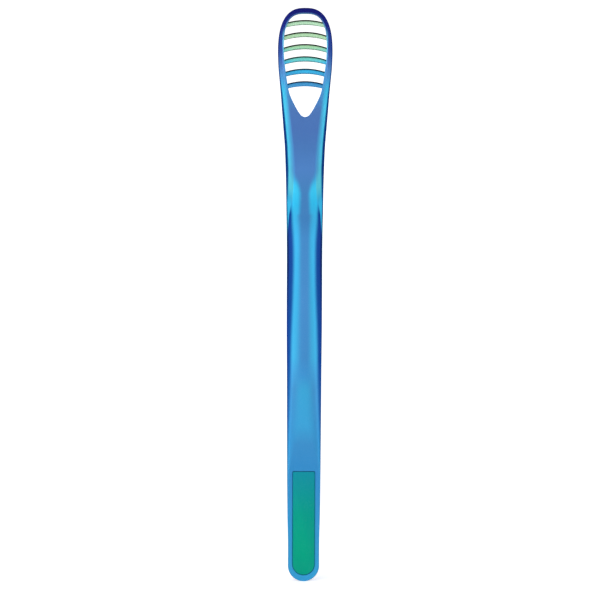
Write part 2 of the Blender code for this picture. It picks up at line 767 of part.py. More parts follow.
def first_rib():
    return OVERALL_HEIGHT * RECESS_TOP_SHARE - RECESS_LENGTH * RIB_MARGIN_SHARES[0]


def rib_half(z):
    return HALF_GRIP * along(RIB_HALF_SHARES, z / OVERALL_HEIGHT)


def pad_outline(margin):
    """Outline of the ribbed pad: it narrows downward with the ribs, its corners rounded."""
    top = OVERALL_HEIGHT * RECESS_TOP_SHARE - RIB_WIDTH / 2
    foot = OVERALL_HEIGHT * RECESS_FOOT_SHARE + RIB_WIDTH * PAD_FOOT_SHARE
    side = HALF_GRIP * PAD_MARGIN_SHARE + margin
    corner = RIB_WIDTH
    right = []
    for z, up in ((foot, -1), (top, 1)):
        for k in range(SMALL_ROUND_STEPS + 1):
            turn = math.pi / 2 * (k / SMALL_ROUND_STEPS - (up < 0))
            right.append((rib_half(z) + side - corner * (1 - math.cos(turn)),
                          z + up * (margin - corner) + corner * math.sin(turn)))
    return right + [(-x, z) for x, z in reversed(right)]


def make_pad(material):
    """Pad with the thumb ribs standing on it."""
    pad = prism("thumb_grip_pad", pad_outline(0.0), 0.0, PAD_THICKNESS, in_recess)
    pad.data.materials.append(material)
    foot = -RIB_EMBED / RIB_HEIGHT
    profile = [(-0.5, foot)] + list(RIB_PROFILE_SHARES) + [(0.5, foot)]
    ends = [(-across, scale) for across, scale in reversed(RIB_END_SHARES)] + list(RIB_END_SHARES)
    count = len(profile)
    points, faces = [], []
    for n in range(RIB_COUNT):
        z = first_rib() - RIB_PITCH * n
        offset = len(points)
        for across, scale in ends:
            for along_z, up in profile:
                height = up * RIB_HEIGHT * (scale if up > 0 else 1.0)
                level = z + along_z * RIB_WIDTH * scale
                points.append((rib_half(z) * across, recess_floor(z) - height, level))
        for e in range(len(ends) - 1):
            for k in range(count):
                m = (k + 1) % count
                a = offset + e * count
                faces.append((a + k, a + m, a + count + m, a + count + k))
        faces.append(tuple(offset + k for k in range(count)))
        faces.append(tuple(offset + (len(ends) - 1) * count + k for k in reversed(range(count))))
    ribs = make_object("rib_solids", points, faces, None)
    boolean(pad, ribs, "UNION")
    return pad


def plate_outline(margin):
    """Label plate in its own plane: round foot, small corners at the top."""
    half = PLATE_WIDTH / 2 + margin
    foot = OVERALL_HEIGHT * PLATE_FOOT_SHARE
    centre = foot + PLATE_WIDTH / 2
    top = foot + PLATE_LENGTH + margin
    corner = PLATE_CORNER + margin
    outline = []
    for k in range(ROUND_STEPS + 1):
        turn = math.pi + math.pi * k / ROUND_STEPS
        outline.append((half * math.cos(turn), centre + half * math.sin(turn)))
    for side in (1, -1):
        for k in range(SMALL_ROUND_STEPS + 1):
            turn = math.pi / 2 * (k / SMALL_ROUND_STEPS + (side < 0))
            outline.append((side * (half - corner) + corner * math.cos(turn),
                            top - corner + corner * math.sin(turn)))
    return outline


def on_back(u, v, depth):
    """Point on the flat back of the tail, depth measured into the handle."""
    return (u, straight(back, v, 0.0, FLAT_BACK_SHARE) - depth, v)


def main():
    clear_scene()
    body_plastic = make_material("handle_plastic", (0.065, 0.175, 0.52), 0.18)
    blade_plastic = make_material("blade_plastic", (0.06, 0.20, 0.50), 0.18)
    grip_plastic = make_material("grip_plastic", (0.05, 0.13, 0.42), 0.25)
    label_plastic = make_material("label_plastic", (0.01, 0.32, 0.33), 0.3)

    handle = make_handle(body_plastic)
    reach = GRIP_DEPTH
    recess = prism("recess_cutter", recess_outline(), -reach, 0.0, in_recess)
    boolean(handle, recess, "DIFFERENCE")
    pocket = prism("pad_cutter", pad_outline(PAD_GAP), -reach, PAD_THICKNESS + PAD_GAP, in_recess)
    boolean(handle, pocket, "DIFFERENCE")
    well = prism("label_cutter", plate_outline(PLATE_GAP), -reach,
                 PLATE_THICKNESS + PLATE_FLOOR_GAP, on_back)
    boolean(handle, well, "DIFFERENCE")
    make_pad(grip_plastic)
    plate = prism("label_plate", plate_outline(0.0), 0.0, PLATE_THICKNESS, on_back)
    plate.data.materials.append(label_plastic)
    make_lip(blade_plastic)
    for number in range(2, BLADE_COUNT + 1):
        make_blade(number, blade_plastic)


main()
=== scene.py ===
"""Looks of the tongue cleaner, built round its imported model. The handle, the blades, the ribbed grip
and the label plate are made again from the same sizes as the solids, finer and without their gaps,
because the real thing is one moulding. Metres, Z up, blades towards -Y."""

import math

import bmesh
import bpy
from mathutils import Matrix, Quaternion, Vector


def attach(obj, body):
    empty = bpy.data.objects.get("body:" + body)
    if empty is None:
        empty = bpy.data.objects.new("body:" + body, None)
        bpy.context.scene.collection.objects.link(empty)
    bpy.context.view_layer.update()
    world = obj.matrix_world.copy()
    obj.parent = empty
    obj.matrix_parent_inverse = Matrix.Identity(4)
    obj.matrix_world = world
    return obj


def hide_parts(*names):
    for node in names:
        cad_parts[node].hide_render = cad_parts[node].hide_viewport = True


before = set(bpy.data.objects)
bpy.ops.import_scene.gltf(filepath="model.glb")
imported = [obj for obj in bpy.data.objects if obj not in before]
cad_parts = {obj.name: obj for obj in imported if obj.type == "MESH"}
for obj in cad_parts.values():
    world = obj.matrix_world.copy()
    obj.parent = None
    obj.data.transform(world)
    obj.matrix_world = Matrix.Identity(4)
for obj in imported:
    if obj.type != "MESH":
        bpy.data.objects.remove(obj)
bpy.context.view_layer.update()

# Overall sizes

OVERALL_HEIGHT = 0.200
GRIP_WIDTH = 0.01225
GRIP_DEPTH = 0.0077
TAIL_WIDTH = 0.0108
HEAD_WIDTH = 0.0189
OPENING_WIDTH = 0.0148
EDGE_RADIUS = 0.00025
TAIL_CORNER = 0.0007
TAIL_RISE = 0.0049

# Scraper blades

BLADE_COUNT = 7
BLADE_PITCH = 0.00446
BLADE_THICKNESS = 0.00115
BLADE_RIM = 0.00085
BLADE_ARCH_RADIUS = 0.021
BLADE_REACH = 0.00597

# Thumb grip

RECESS_DEPTH = 0.00055
RIB_COUNT = 14
RIB_HEIGHT = 0.00053
RIB_EMBED = 0.0003

# Label plate

PLATE_WIDTH = 0.0077
PLATE_LENGTH = 0.0362
PLATE_THICKNESS = 0.0005
PLATE_CORNER = 0.0004
PLATE_GAP = 0.00016
PLATE_FLOOR_GAP = 0.00015

# Draw direction of the mould through the head: how far it falls for each length it goes forward

DRAW_SLOPE = 0.364

# Each table pairs a share of OVERALL_HEIGHT with a share of the size named in its heading.

# Front face, as shares of GRIP_DEPTH
FRONT_SHARES = (
    (0.000, -0.532), (0.045, -0.515), (0.090, -0.490), (0.145, -0.471), (0.200, -0.490),
    (0.256, -0.535), (0.312, -0.617), (0.340, -0.662), (0.368, -0.682), (0.400, -0.680),
    (0.565, -0.675), (0.577, -0.668), (0.592, -0.615), (0.620, -0.490), (0.648, -0.371),
    (0.676, -0.262), (0.704, -0.150), (0.731, -0.053), (0.759, 0.024), (0.787, 0.095),
    (0.829, 0.179), (0.850, 0.207), (0.876, 0.219), (0.897, 0.194), (0.918, 0.121),
    (0.939, -0.005), (0.960, -0.141), (0.980, -0.292), (1.000, -0.455),
)
# Back face, as shares of GRIP_DEPTH
BACK_SHARES = (
    (0.000, 0.565), (0.090, 0.529), (0.180, 0.494), (0.270, 0.458), (0.325, 0.400),
    (0.368, 0.356), (0.410, 0.340), (0.480, 0.328), (0.563, 0.322), (0.620, 0.324),
    (0.675, 0.358), (0.731, 0.402), (0.787, 0.471), (0.829, 0.532), (0.860, 0.545),
    (0.892, 0.517), (0.913, 0.453), (0.934, 0.350), (0.955, 0.190), (0.976, -0.004),
    (1.000, -0.270),
)
# Growth of the half width from the grip to the head, as shares of the difference
HEAD_GROWTH_SHARES = (
    (0.500, 0.000), (0.573, 0.012), (0.645, 0.066), (0.704, 0.130), (0.732, 0.182),
    (0.760, 0.255), (0.795, 0.414), (0.827, 0.564), (0.859, 0.714), (0.880, 0.835),
    (0.901, 0.945), (0.923, 1.000),
)
# Narrowing of the half width from the grip to the tail, as shares of the difference
TAIL_NARROWING_SHARES = (
    (0.000, 1.000), (0.075, 1.000), (0.110, 0.780), (0.150, 0.640), (0.230, 0.450),
    (0.368, 0.240), (0.440, 0.060), (0.500, 0.000),
)
# Half width of the front flat, as shares of the half width
FRONT_FLAT_SHARES = (
    (0.000, 0.24), (0.037, 0.22), (0.072, 0.12), (0.106, 0.08), (0.141, 0.06), (0.211, 0.07),
    (0.281, 0.10), (0.330, 0.12), (0.385, 0.17), (0.420, 0.26), (0.455, 0.38), (0.490, 0.58),
    (0.540, 0.90), (0.600, 0.96), (0.700, 0.962), (1.000, 0.97),
)
# Place of the corner between front and side that the rounding is drawn from, and the pull of that
# corner on the rounding
FRONT_CORNER_SHARES = (
    (0.000, 0.92), (0.037, 0.96), (0.072, 0.76), (0.106, 0.46), (0.141, 0.34), (0.176, 0.34),
    (0.211, 0.38), (0.246, 0.46), (0.281, 0.57), (0.316, 0.64), (0.351, 0.70), (0.385, 0.82),
    (0.420, 0.95), (0.455, 1.00), (1.000, 1.00),
)
FRONT_PULL_SHARE = 0.80
# Depth of the side crease behind the front face, as shares of the section's depth
CREASE_SHARES = (
    (0.000, 0.940), (0.055, 0.935), (0.140, 0.900), (0.228, 0.755), (0.316, 0.533),
    (0.377, 0.410), (0.403, 0.360), (0.446, 0.255), (0.490, 0.125), (0.535, 0.045),
    (0.600, 0.040), (0.700, 0.060), (1.000, 0.100),
)
# Half width of the corner between side and back, as shares of the half width
BACK_CORNER_SHARES = (
    (0.000, 1.00), (0.540, 1.00), (0.575, 0.97), (0.600, 0.90), (0.630, 0.76), (0.660, 0.63),
    (0.690, 0.565), (0.735, 0.555), (0.795, 0.625), (0.840, 0.715), (0.880, 0.800),
    (0.923, 0.836), (1.000, 0.860),
)
# Length of the rounding along the side, as shares of the side
SIDE_ROUNDING_SHARES = (
    (0.000, 0.80), (0.160, 0.85), (0.211, 0.93), (0.320, 0.95), (0.540, 0.95), (0.575, 0.94),
    (0.600, 0.86), (0.630, 0.58), (0.660, 0.30), (0.700, 0.14), (0.795, 0.10), (1.000, 0.12),
)
# Length of the rounding along the back, as shares of the corner's half width
BACK_ROUNDING_SHARES = (
    (0.000, 0.08), (0.150, 0.09), (0.185, 0.14), (0.211, 0.30), (0.246, 0.62), (0.281, 0.84),
    (0.320, 0.90), (0.385, 0.92), (0.430, 0.90), (0.560, 0.87), (0.600, 0.86), (0.630, 0.80),
    (0.660, 0.60), (0.700, 0.22), (0.760, 0.08), (1.000, 0.04),
)
# Width of the head's outer slope, measured inward from the outline, as shares of HEAD_WIDTH
SLOPE_WIDTH_SHARES = (
    (0.795, 0.150), (0.840, 0.122), (0.880, 0.094), (0.923, 0.082), (0.960, 0.078),
    (1.000, 0.068),
)
# Right half of the opening up to its widest place: share of its half width, share of its rise
OPENING_SHARES = (
    (0.000, 0.000), (0.128, 0.012), (0.240, 0.047), (0.372, 0.112), (0.486, 0.180),
    (0.595, 0.250), (0.689, 0.318), (0.759, 0.390), (0.822, 0.492), (0.905, 0.675),
    (0.973, 0.850), (1.000, 1.000),
)
# Rise of the oblique tail end from back to front: straight and curved share of TAIL_RISE
TAIL_RISE_SHARES = (0.16, 0.84)
# Heights as shares of OVERALL_HEIGHT
JOIN_SHARE = 0.795
HEAD_CENTRE_SHARE = 0.9232
OPENING_FOOT_SHARE = 0.8155
OPENING_WIDEST_SHARE = 0.9325
OPENING_TOP_SHARE = 0.9925
TILT_START_SHARE = 0.085
# Powers of the squarish ovals that the crown and the top of the opening follow
HEAD_POWER = 2.62
OPENING_POWER = 2.95
# First blade's top surface, carried along the draw direction to mid depth
FIRST_BLADE_SHARE = 1.0053
# Each blade reaches less far forward than the one above, by this share of the pitch
BLADE_LEAN_SHARE = 0.168
BLADE_END_SHARE = 0.965
# Where a blade's foot is looked for on the opening's wall, as a share of the opening's half width
BLADE_FOOT_SHARE = 0.95
# How far the blades end short of the back face and the lip short of the crown, as shares of EDGE_RADIUS
BLADE_SETBACK_SHARE = 0.4
LIP_SETBACK_SHARE = 0.6
# Half thickness left at the very rim of a blade, as a share of BLADE_RIM, and of the lip, of half of it
BLADE_OPEN_SHARE = 0.02
LIP_OPEN_SHARE = 0.03
# Share of BLADE_FILL that the rim has, and the share of the blade's depth where all of it is there
FILL_START_SHARE = 0.2
FILL_END_SHARE = 0.5
# Lip: its half width as a share of the head's, the place of its rim between both feet, and the half
# width at which its reach would come to nothing, as a share of its own
LIP_HALF_SHARE = 0.80
LIP_RIM_SHARE = 0.42
LIP_SPREAD_SHARE = 1.01
# Recess of the thumb grip: its top and foot, how far the foot rises to both sides, and its half width as
# a share of HALF_GRIP
RECESS_TOP_SHARE = 0.5655
RECESS_FOOT_SHARE = 0.3925
RECESS_SIDE_RISE_SHARE = 0.012
RECESS_WIDE_SHARE = 1.2
# First and last rib as shares of the recess's length, measured from its top and from its foot
RIB_MARGIN_SHARES = (0.059, 0.069)
# Width of a rib, as a share of the pitch
RIB_WIDTH_SHARE = 0.54
# Half length of a rib at each height, as shares of HALF_GRIP
RIB_HALF_SHARES = ((0.000, 0.40), (0.400, 0.54), (0.480, 0.64), (0.555, 0.735), (1.000, 0.74))
# Powers that round a rib's section, the length of its rolled end as a share of its half length, and
# the share of its section that is left at the tip
RIB_ROUND_POWERS = (1.6, 0.9)
RIB_END_SHARE = 0.17
RIB_TIP_SHARE = 0.12
# Label plate: its foot, and the stretch of the back that it lies flat on
PLATE_FOOT_SHARE = 0.0112
FLAT_BACK_SHARE = 0.180

HALF_GRIP = GRIP_WIDTH / 2
HALF_TAIL = TAIL_WIDTH / 2
HALF_HEAD = HEAD_WIDTH / 2
HALF_OPENING = OPENING_WIDTH / 2
RECESS_LENGTH = OVERALL_HEIGHT * (RECESS_TOP_SHARE - RECESS_FOOT_SHARE)
RIB_PITCH = RECESS_LENGTH * (1 - sum(RIB_MARGIN_SHARES)) / (RIB_COUNT - 1)
RIB_WIDTH = RIB_PITCH * RIB_WIDTH_SHARE

# Blades and ribs run this far into the moulding that carries them
SINK = 0.00022
# Rounding of a blade's upper edge at the back
BLADE_ROUND = BLADE_THICKNESS * 0.55
# A blade is this much fuller at its root, on the underside
BLADE_FILL = 0.0005
# Bevels on the crisp edges of the blades and of the label plate
BLADE_BEVEL = BLADE_THICKNESS * 0.16
PLATE_BEVEL = PLATE_THICKNESS * 0.3

# Mesh fineness: each step is a count, or a list of shares of the stretch that it divides
FLAT_STEPS = 24
CORNER_STEPS = 16
SIDE_STEPS = (0.45, 0.66, 0.84, 0.95)
BACK_STEPS = 14
WALL_STEPS = 4
STRIP_STEPS = 4
ROWS_PER_HEIGHT = 330
TAIL_END_STEPS = 22
ARM_STEPS = 36
CROWN_STEPS = 44
WEB_STEPS = 22
SHOULDER_STEPS = 12
LEAN_STEPS = 9
RIM_STEPS = 6
BLADE_FACE_STEPS = (0.3, 0.65, 1.0)
BLADE_BACK_STEPS = (0.33, 0.67, 1.0)
LIP_STEPS = (0.25, 0.5, 0.75, 1.0)
RIDGE_STEPS = 16
RIB_END_STEPS = 8
RECESS_STEPS = 24
ROUND_STEPS = 48
SMALL_ROUND_STEPS = 10
BEVEL_STEPS = 3
DRAW_PASSES = 16
# Stretches over which directions are taken: stations of the opening's table, and parts of the height
DIRECTION_STEP = 0.01
DIRECTION_PARTS = 1000
# Turn of the tail's end at which its lowest row lies
TAIL_TURN_DEGREES = 88
# Points closer than this share of the height are one
MERGE_SHARE = 1e-8
# Faces that meet at more than these angles keep a crisp edge between them
CRISP_DEGREES = 32
SOFT_CRISP_DEGREES = 50
RIB_CRISP_DEGREES = 60
HANDLE_CRISP_DEGREES = 75
# Edges sharper than these angles are bevelled
BLADE_BEVEL_DEGREES = 50
PLATE_BEVEL_DEGREES = 40


def make_object(name, points, faces, crisp=CRISP_DEGREES):
    """Mesh object with outward faces, smooth apart from its crisp edges."""
    mesh = bpy.data.meshes.new(name)
    mesh.from_pydata(points, [], faces)
    shape = bmesh.new()
    shape.from_mesh(mesh)
    bmesh.ops.remove_doubles(shape, verts=shape.verts, dist=OVERALL_HEIGHT * MERGE_SHARE)
    bmesh.ops.recalc_face_normals(shape, faces=shape.faces)
    shape.to_mesh(mesh)
    shape.free()
    shade(mesh, crisp)
    obj = bpy.data.objects.new(name, mesh)
    bpy.context.scene.collection.objects.link(obj)
    return obj


def shade(mesh, crisp):
    """Shades a mesh smooth, apart from edges sharper than crisp degrees."""
    for polygon in mesh.polygons:
        polygon.use_smooth = True
    mesh.set_sharp_from_angle(angle=math.radians(crisp))


def settle(obj, crisp=CRISP_DEGREES):
    """Turns an object and its modifiers into a plain mesh."""
    graph = bpy.context.evaluated_depsgraph_get()
    mesh = bpy.data.meshes.new_from_object(obj.evaluated_get(graph))
    obj.modifiers.clear()
    obj.data = mesh
    mesh.name = obj.name
    shade(mesh, crisp)


def cut(obj, cutter):
    """Cuts the cutter out of a piece and removes it."""
    modifier = obj.modifiers.new("cut", "BOOLEAN")
    modifier.operation = "DIFFERENCE"
    modifier.solver = "EXACT"
    modifier.object = cutter
    settle(obj)
    bpy.data.objects.remove(cutter, do_unlink=True)


def soften(obj, width, angle):
    """Bevels the edges of a piece that are sharper than an angle in degrees."""
    modifier = obj.modifiers.new("soft_edges", "BEVEL")
    modifier.width = width
    modifier.segments = BEVEL_STEPS
    modifier.limit_method = "ANGLE"
    modifier.angle_limit = math.radians(angle)
    settle(obj, SOFT_CRISP_DEGREES)


def coat(obj, material):
    """Gives a piece its one material."""
    obj.data.materials.clear()
    obj.data.materials.append(material)


def prism(name, outline, near, far, place):
    """Closed prism over a flat outline: place(u, v, depth) gives the point in space."""
    count = len(outline)
    points = [place(u, v, near) for u, v in outline] + [place(u, v, far) for u, v in outline]
    faces = [tuple(range(count)), tuple(range(2 * count - 1, count - 1, -1))]
    faces += [(i, (i + 1) % count, count + (i + 1) % count, count + i) for i in range(count)]
    return make_object(name, points, faces)


def slab(name, columns):
    """Closed plate from columns of (top, bottom) points. A column may have fewer rows than the next:
    faces are made where both columns have both rows."""
    points, top, bottom = [], {}, {}
    for c, column in enumerate(columns):
        for r, pair in enumerate(column):
            top[c, r] = len(points)
            points.append(pair[0])
            bottom[c, r] = len(points)
            points.append(pair[1])
    faces, edges = [], {}
    for c in range(len(columns) - 1):
        for r in range(len(columns[c]) - 1):
            cell = [(c, r), (c + 1, r), (c + 1, r + 1), (c, r + 1)]
            if any(corner not in top for corner in cell):
                continue
            faces.append(tuple(top[k] for k in cell))
            faces.append(tuple(bottom[k] for k in reversed(cell)))
            for edge in zip(cell, cell[1:] + cell[:1]):
                edges[edge] = True
    # An edge that no second cell runs along the other way lies on the rim.
    for a, b in edges:
        if (b, a) not in edges:
            faces.append((top[b], top[a], bottom[a], bottom[b]))
    return make_object(name, points, faces)


def along(table, share):
    """Smooth curve through the table's stations, read at a share."""
    last = len(table) - 1
    if share <= table[0][0]:
        return table[0][1]
    if share >= table[last][0]:
        return table[last][1]
    i = next(k for k in range(last) if share <= table[k + 1][0])

    def slope(k):
        if k == 0 or k == last:
            a, b = (0, 1) if k == 0 else (last - 1, last)
            return (table[b][1] - table[a][1]) / (table[b][0] - table[a][0])
        before = table[k][0] - table[k - 1][0]
        after = table[k + 1][0] - table[k][0]
        left = (table[k][1] - table[k - 1][1]) / before
        right = (table[k + 1][1] - table[k][1]) / after
        return (left * after + right * before) / (before + after)

    span = table[i + 1][0] - table[i][0]
    t = (share - table[i][0]) / span
    a, b = table[i][1], table[i + 1][1]
    return (
        a * (1 + 2 * t) * (1 - t) ** 2
        + b * t * t * (3 - 2 * t)
        + span * slope(i) * t * (1 - t) ** 2
        - span * slope(i + 1) * t * t * (1 - t)
    )


def front(z):
    """Depth of the front face at a height."""
    return GRIP_DEPTH * along(FRONT_SHARES, z / OVERALL_HEIGHT)


def back(z):
    """Depth of the back face at a height."""
    return GRIP_DEPTH * along(BACK_SHARES, z / OVERALL_HEIGHT)


def between(z, share):
    """Depth at a height: share 0 on the front face, 1 on the back face."""
    return front(z) * (1 - share) + back(z) * share


def half_width(z):
    """Half width of the body at a height, without the rounding of the crown."""
    share = z / OVERALL_HEIGHT
    growth = (HALF_HEAD - HALF_GRIP) * along(HEAD_GROWTH_SHARES, share)
    narrowing = (HALF_GRIP - HALF_TAIL) * along(TAIL_NARROWING_SHARES, share)
    return HALF_GRIP + growth - narrowing


def mix(a, b, t):
    """Point between a and b."""
    return tuple(p * (1 - t) + q * t for p, q in zip(a, b))


def conic(start, corner, end, weight, t):
    """Point of the rounding that leaves start and reaches end along the lines from corner."""
    a, b, c = (1 - t) ** 2, 2 * weight * t * (1 - t), t * t
    return tuple((a * p + b * q + c * r) / (a + b + c) for p, q, r in zip(start, corner, end))


def edge_profile(z, slope_width=None):
    """Right edge of a section from the front flat to the back flat, as (inset, depth share)."""
    share = z / OVERALL_HEIGHT
    width = half_width(z)
    flat_end = (width * (1 - along(FRONT_FLAT_SHARES, share)), 0.0)
    # The curve through the shares overshoots on the neck, so its corner is held at the outline.
    front_corner = (max(width * (1 - along(FRONT_CORNER_SHARES, share)), 0.0), 0.0)
    crease = (0.0, along(CREASE_SHARES, share))
    corner_width = width * along(BACK_CORNER_SHARES, share)
    inset = width - corner_width
    rounding = along(BACK_ROUNDING_SHARES, share) * corner_width
    if slope_width is not None:
        inset = slope_width
        rounding = EDGE_RADIUS
        flat_end = (EDGE_RADIUS, 0.0)
    back_corner = (inset, 1.0)
    start = mix(back_corner, crease, along(SIDE_ROUNDING_SHARES, share))
    end = (inset + rounding, 1.0)
    points = [conic(flat_end, front_corner, crease, FRONT_PULL_SHARE, i / CORNER_STEPS)
              for i in range(CORNER_STEPS + 1)]
    points += [mix(crease, start, t) for t in SIDE_STEPS]
    points += [conic(start, back_corner, end, math.sqrt(0.5), i / BACK_STEPS)
               for i in range(BACK_STEPS + 1)]
    return points


def head_slope_width(z):
    """Width of the head's outer slope at a height."""
    return HEAD_WIDTH * along(SLOPE_WIDTH_SHARES, z / OVERALL_HEIGHT)


def section(z):
    """Closed section at a height as (x, depth share), from the left end of the front flat."""
    profile = edge_profile(z)
    width = half_width(z)
    right = [(width - inset, share) for inset, share in profile]
    left = [(-x, share) for x, share in reversed(right)]
    reach_front, reach_back = right[0][0], right[-1][0]
    steps = range(1, FLAT_STEPS)
    front_flat = [(reach_front * (2 * i / FLAT_STEPS - 1), 0.0) for i in steps]
    back_flat = [(reach_back * (1 - 2 * i / FLAT_STEPS), 1.0) for i in steps]
    return front_flat + right + back_flat + left


def outline_point(step):
    """Head outline from the join (step 0) to the crest: x, z, and the outward direction."""
    centre = OVERALL_HEIGHT * HEAD_CENTRE_SHARE
    join = OVERALL_HEIGHT * JOIN_SHARE
    if step <= ARM_STEPS:
        z = join + (centre - join) * step / ARM_STEPS
        rise = OVERALL_HEIGHT / DIRECTION_PARTS
        lean = (half_width(z + rise) - half_width(z - rise)) / (2 * rise)
        lean *= min(1, step / LEAN_STEPS) * (step < ARM_STEPS)
        size = math.hypot(1, lean)
        return half_width(z), z, (1 / size, -lean / size)
    turn = math.pi / 2 * (step - ARM_STEPS) / CROWN_STEPS
    return crown_point(turn, HALF_HEAD, OVERALL_HEIGHT - centre, centre, HEAD_POWER)


def crown_point(turn, half, height, centre, power):
    """Point and outward direction on the upper half of a squarish oval."""
    across, up = math.cos(turn) / half, math.sin(turn) / height
    reach = (abs(across) ** power + abs(up) ** power) ** (-1 / power)
    x, rise = reach * math.cos(turn), reach * math.sin(turn)
    nx, nz = (abs(x) / half) ** (power - 1) / half, (rise / height) ** (power - 1) / height
    size = math.hypot(nx, nz)
    return max(x, 0.0), centre + rise, (nx / size, nz / size)


def opening_point(step):
    """Opening at the back face from its foot to its top: x, z, and the direction into the wall."""
    foot = OVERALL_HEIGHT * OPENING_FOOT_SHARE
    widest = OVERALL_HEIGHT * OPENING_WIDEST_SHARE
    top = OVERALL_HEIGHT * OPENING_TOP_SHARE
    half_steps = FLAT_STEPS // 2
    if step <= half_steps + ARM_STEPS:
        last = len(OPENING_SHARES) - 1
        kink = half_steps * last / (half_steps + ARM_STEPS)
        place = kink * step / half_steps
        if step > half_steps:
            place = kink + (last - kink) * (step - half_steps) / ARM_STEPS
        across = tuple((float(k), p[0]) for k, p in enumerate(OPENING_SHARES))
        up = tuple((float(k), p[1]) for k, p in enumerate(OPENING_SHARES))
        low, high = max(place - DIRECTION_STEP, 0.0), min(place + DIRECTION_STEP, float(last))
        dx = (along(across, high) - along(across, low)) * HALF_OPENING
        dz = (along(up, high) - along(up, low)) * (widest - foot)
        if step == 0:
            dz = 0.0
        if step == half_steps + ARM_STEPS:
            dx = 0.0
        size = math.hypot(dx, dz)
        x = HALF_OPENING * along(across, place)
        return x, foot + (widest - foot) * along(up, place), (dz / size, -dx / size)
    turn = math.pi / 2 * (step - half_steps - ARM_STEPS) / CROWN_STEPS
    return crown_point(turn, HALF_OPENING, top - widest, widest, OPENING_POWER)


def on_draw_line(z_back, share):
    """Depth and height where the draw line from the back face reaches a depth share."""
    level = z_back - DRAW_SLOPE * back(z_back)
    y = between(z_back, share)
    for _ in range(DRAW_PASSES):
        y = between(level + DRAW_SLOPE * y, share)
    return y, level + DRAW_SLOPE * y


def wall_profile(step):
    """Opening wall at one station from the front face to the back face, its rims rounded."""
    x, z, (nx, nz) = opening_point(step)
    depth = back(z) - front(z)
    rim = EDGE_RADIUS / depth
    y_front, z_front = on_draw_line(z, 0.0)
    z_off = z_front + EDGE_RADIUS * nz
    front_start = (x + EDGE_RADIUS * nx, front(z_off), z_off)
    front_end = (x,) + on_draw_line(z, rim)
    back_start = (x,) + on_draw_line(z, 1 - rim)
    z_off = z + EDGE_RADIUS * nz
    back_end = (x + EDGE_RADIUS * nx, back(z_off), z_off)
    round_off = math.sqrt(0.5)
    steps = [i / WALL_STEPS for i in range(WALL_STEPS + 1)]
    points = [conic(front_start, (x, y_front, z_front), front_end, round_off, t) for t in steps]
    points += [conic(back_start, (x, back(z), z), back_end, round_off, t) for t in steps]
    return points


def tail_rise(y):
    """Height of the oblique tail end at a depth."""
    rear = back(HALF_TAIL) - EDGE_RADIUS
    reach = min(max((rear - y) / (rear - front(HALF_TAIL)), 0.0), 1.0)
    straight, curved = TAIL_RISE_SHARES
    return TAIL_RISE * (straight * reach + curved * reach * reach)


def handle_rows():
    """Rows of the handle from the tail's tip up to the join with the head."""
    rows = []
    start = HALF_TAIL
    tilt_top = OVERALL_HEIGHT * TILT_START_SHARE
    last_turn = math.radians(TAIL_TURN_DEGREES)
    for i in range(TAIL_END_STEPS, 0, -1):
        turn = last_turn * i / TAIL_END_STEPS
        shrink = math.cos(turn)
        level = start * (1 - math.sin(turn) / math.sin(last_turn))
        row = []
        for x, share in section(start):
            y = between(level, share)
            ease = TAIL_CORNER if share < 0.5 else EDGE_RADIUS
            y += ease * (1 - shrink) * (1 - 2 * share)
            row.append((x * shrink, y, level + tail_rise(y)))
        rows.append(row)
    join = OVERALL_HEIGHT * JOIN_SHARE
    count = round((join - start) / OVERALL_HEIGHT * ROWS_PER_HEIGHT)
    for i in range(count + 1):
        level = start + (join - start) * i / count
        tilt = min(max((tilt_top - level) / (tilt_top - start), 0.0), 1.0)
        tilt = tilt * tilt * (3 - 2 * tilt)
        row = []
        for x, share in section(level):
            y = between(level, share)
            z = level + tilt * tail_rise(y)
            row.append((x, between(z, share), z))
        rows.append(row)
    return rows


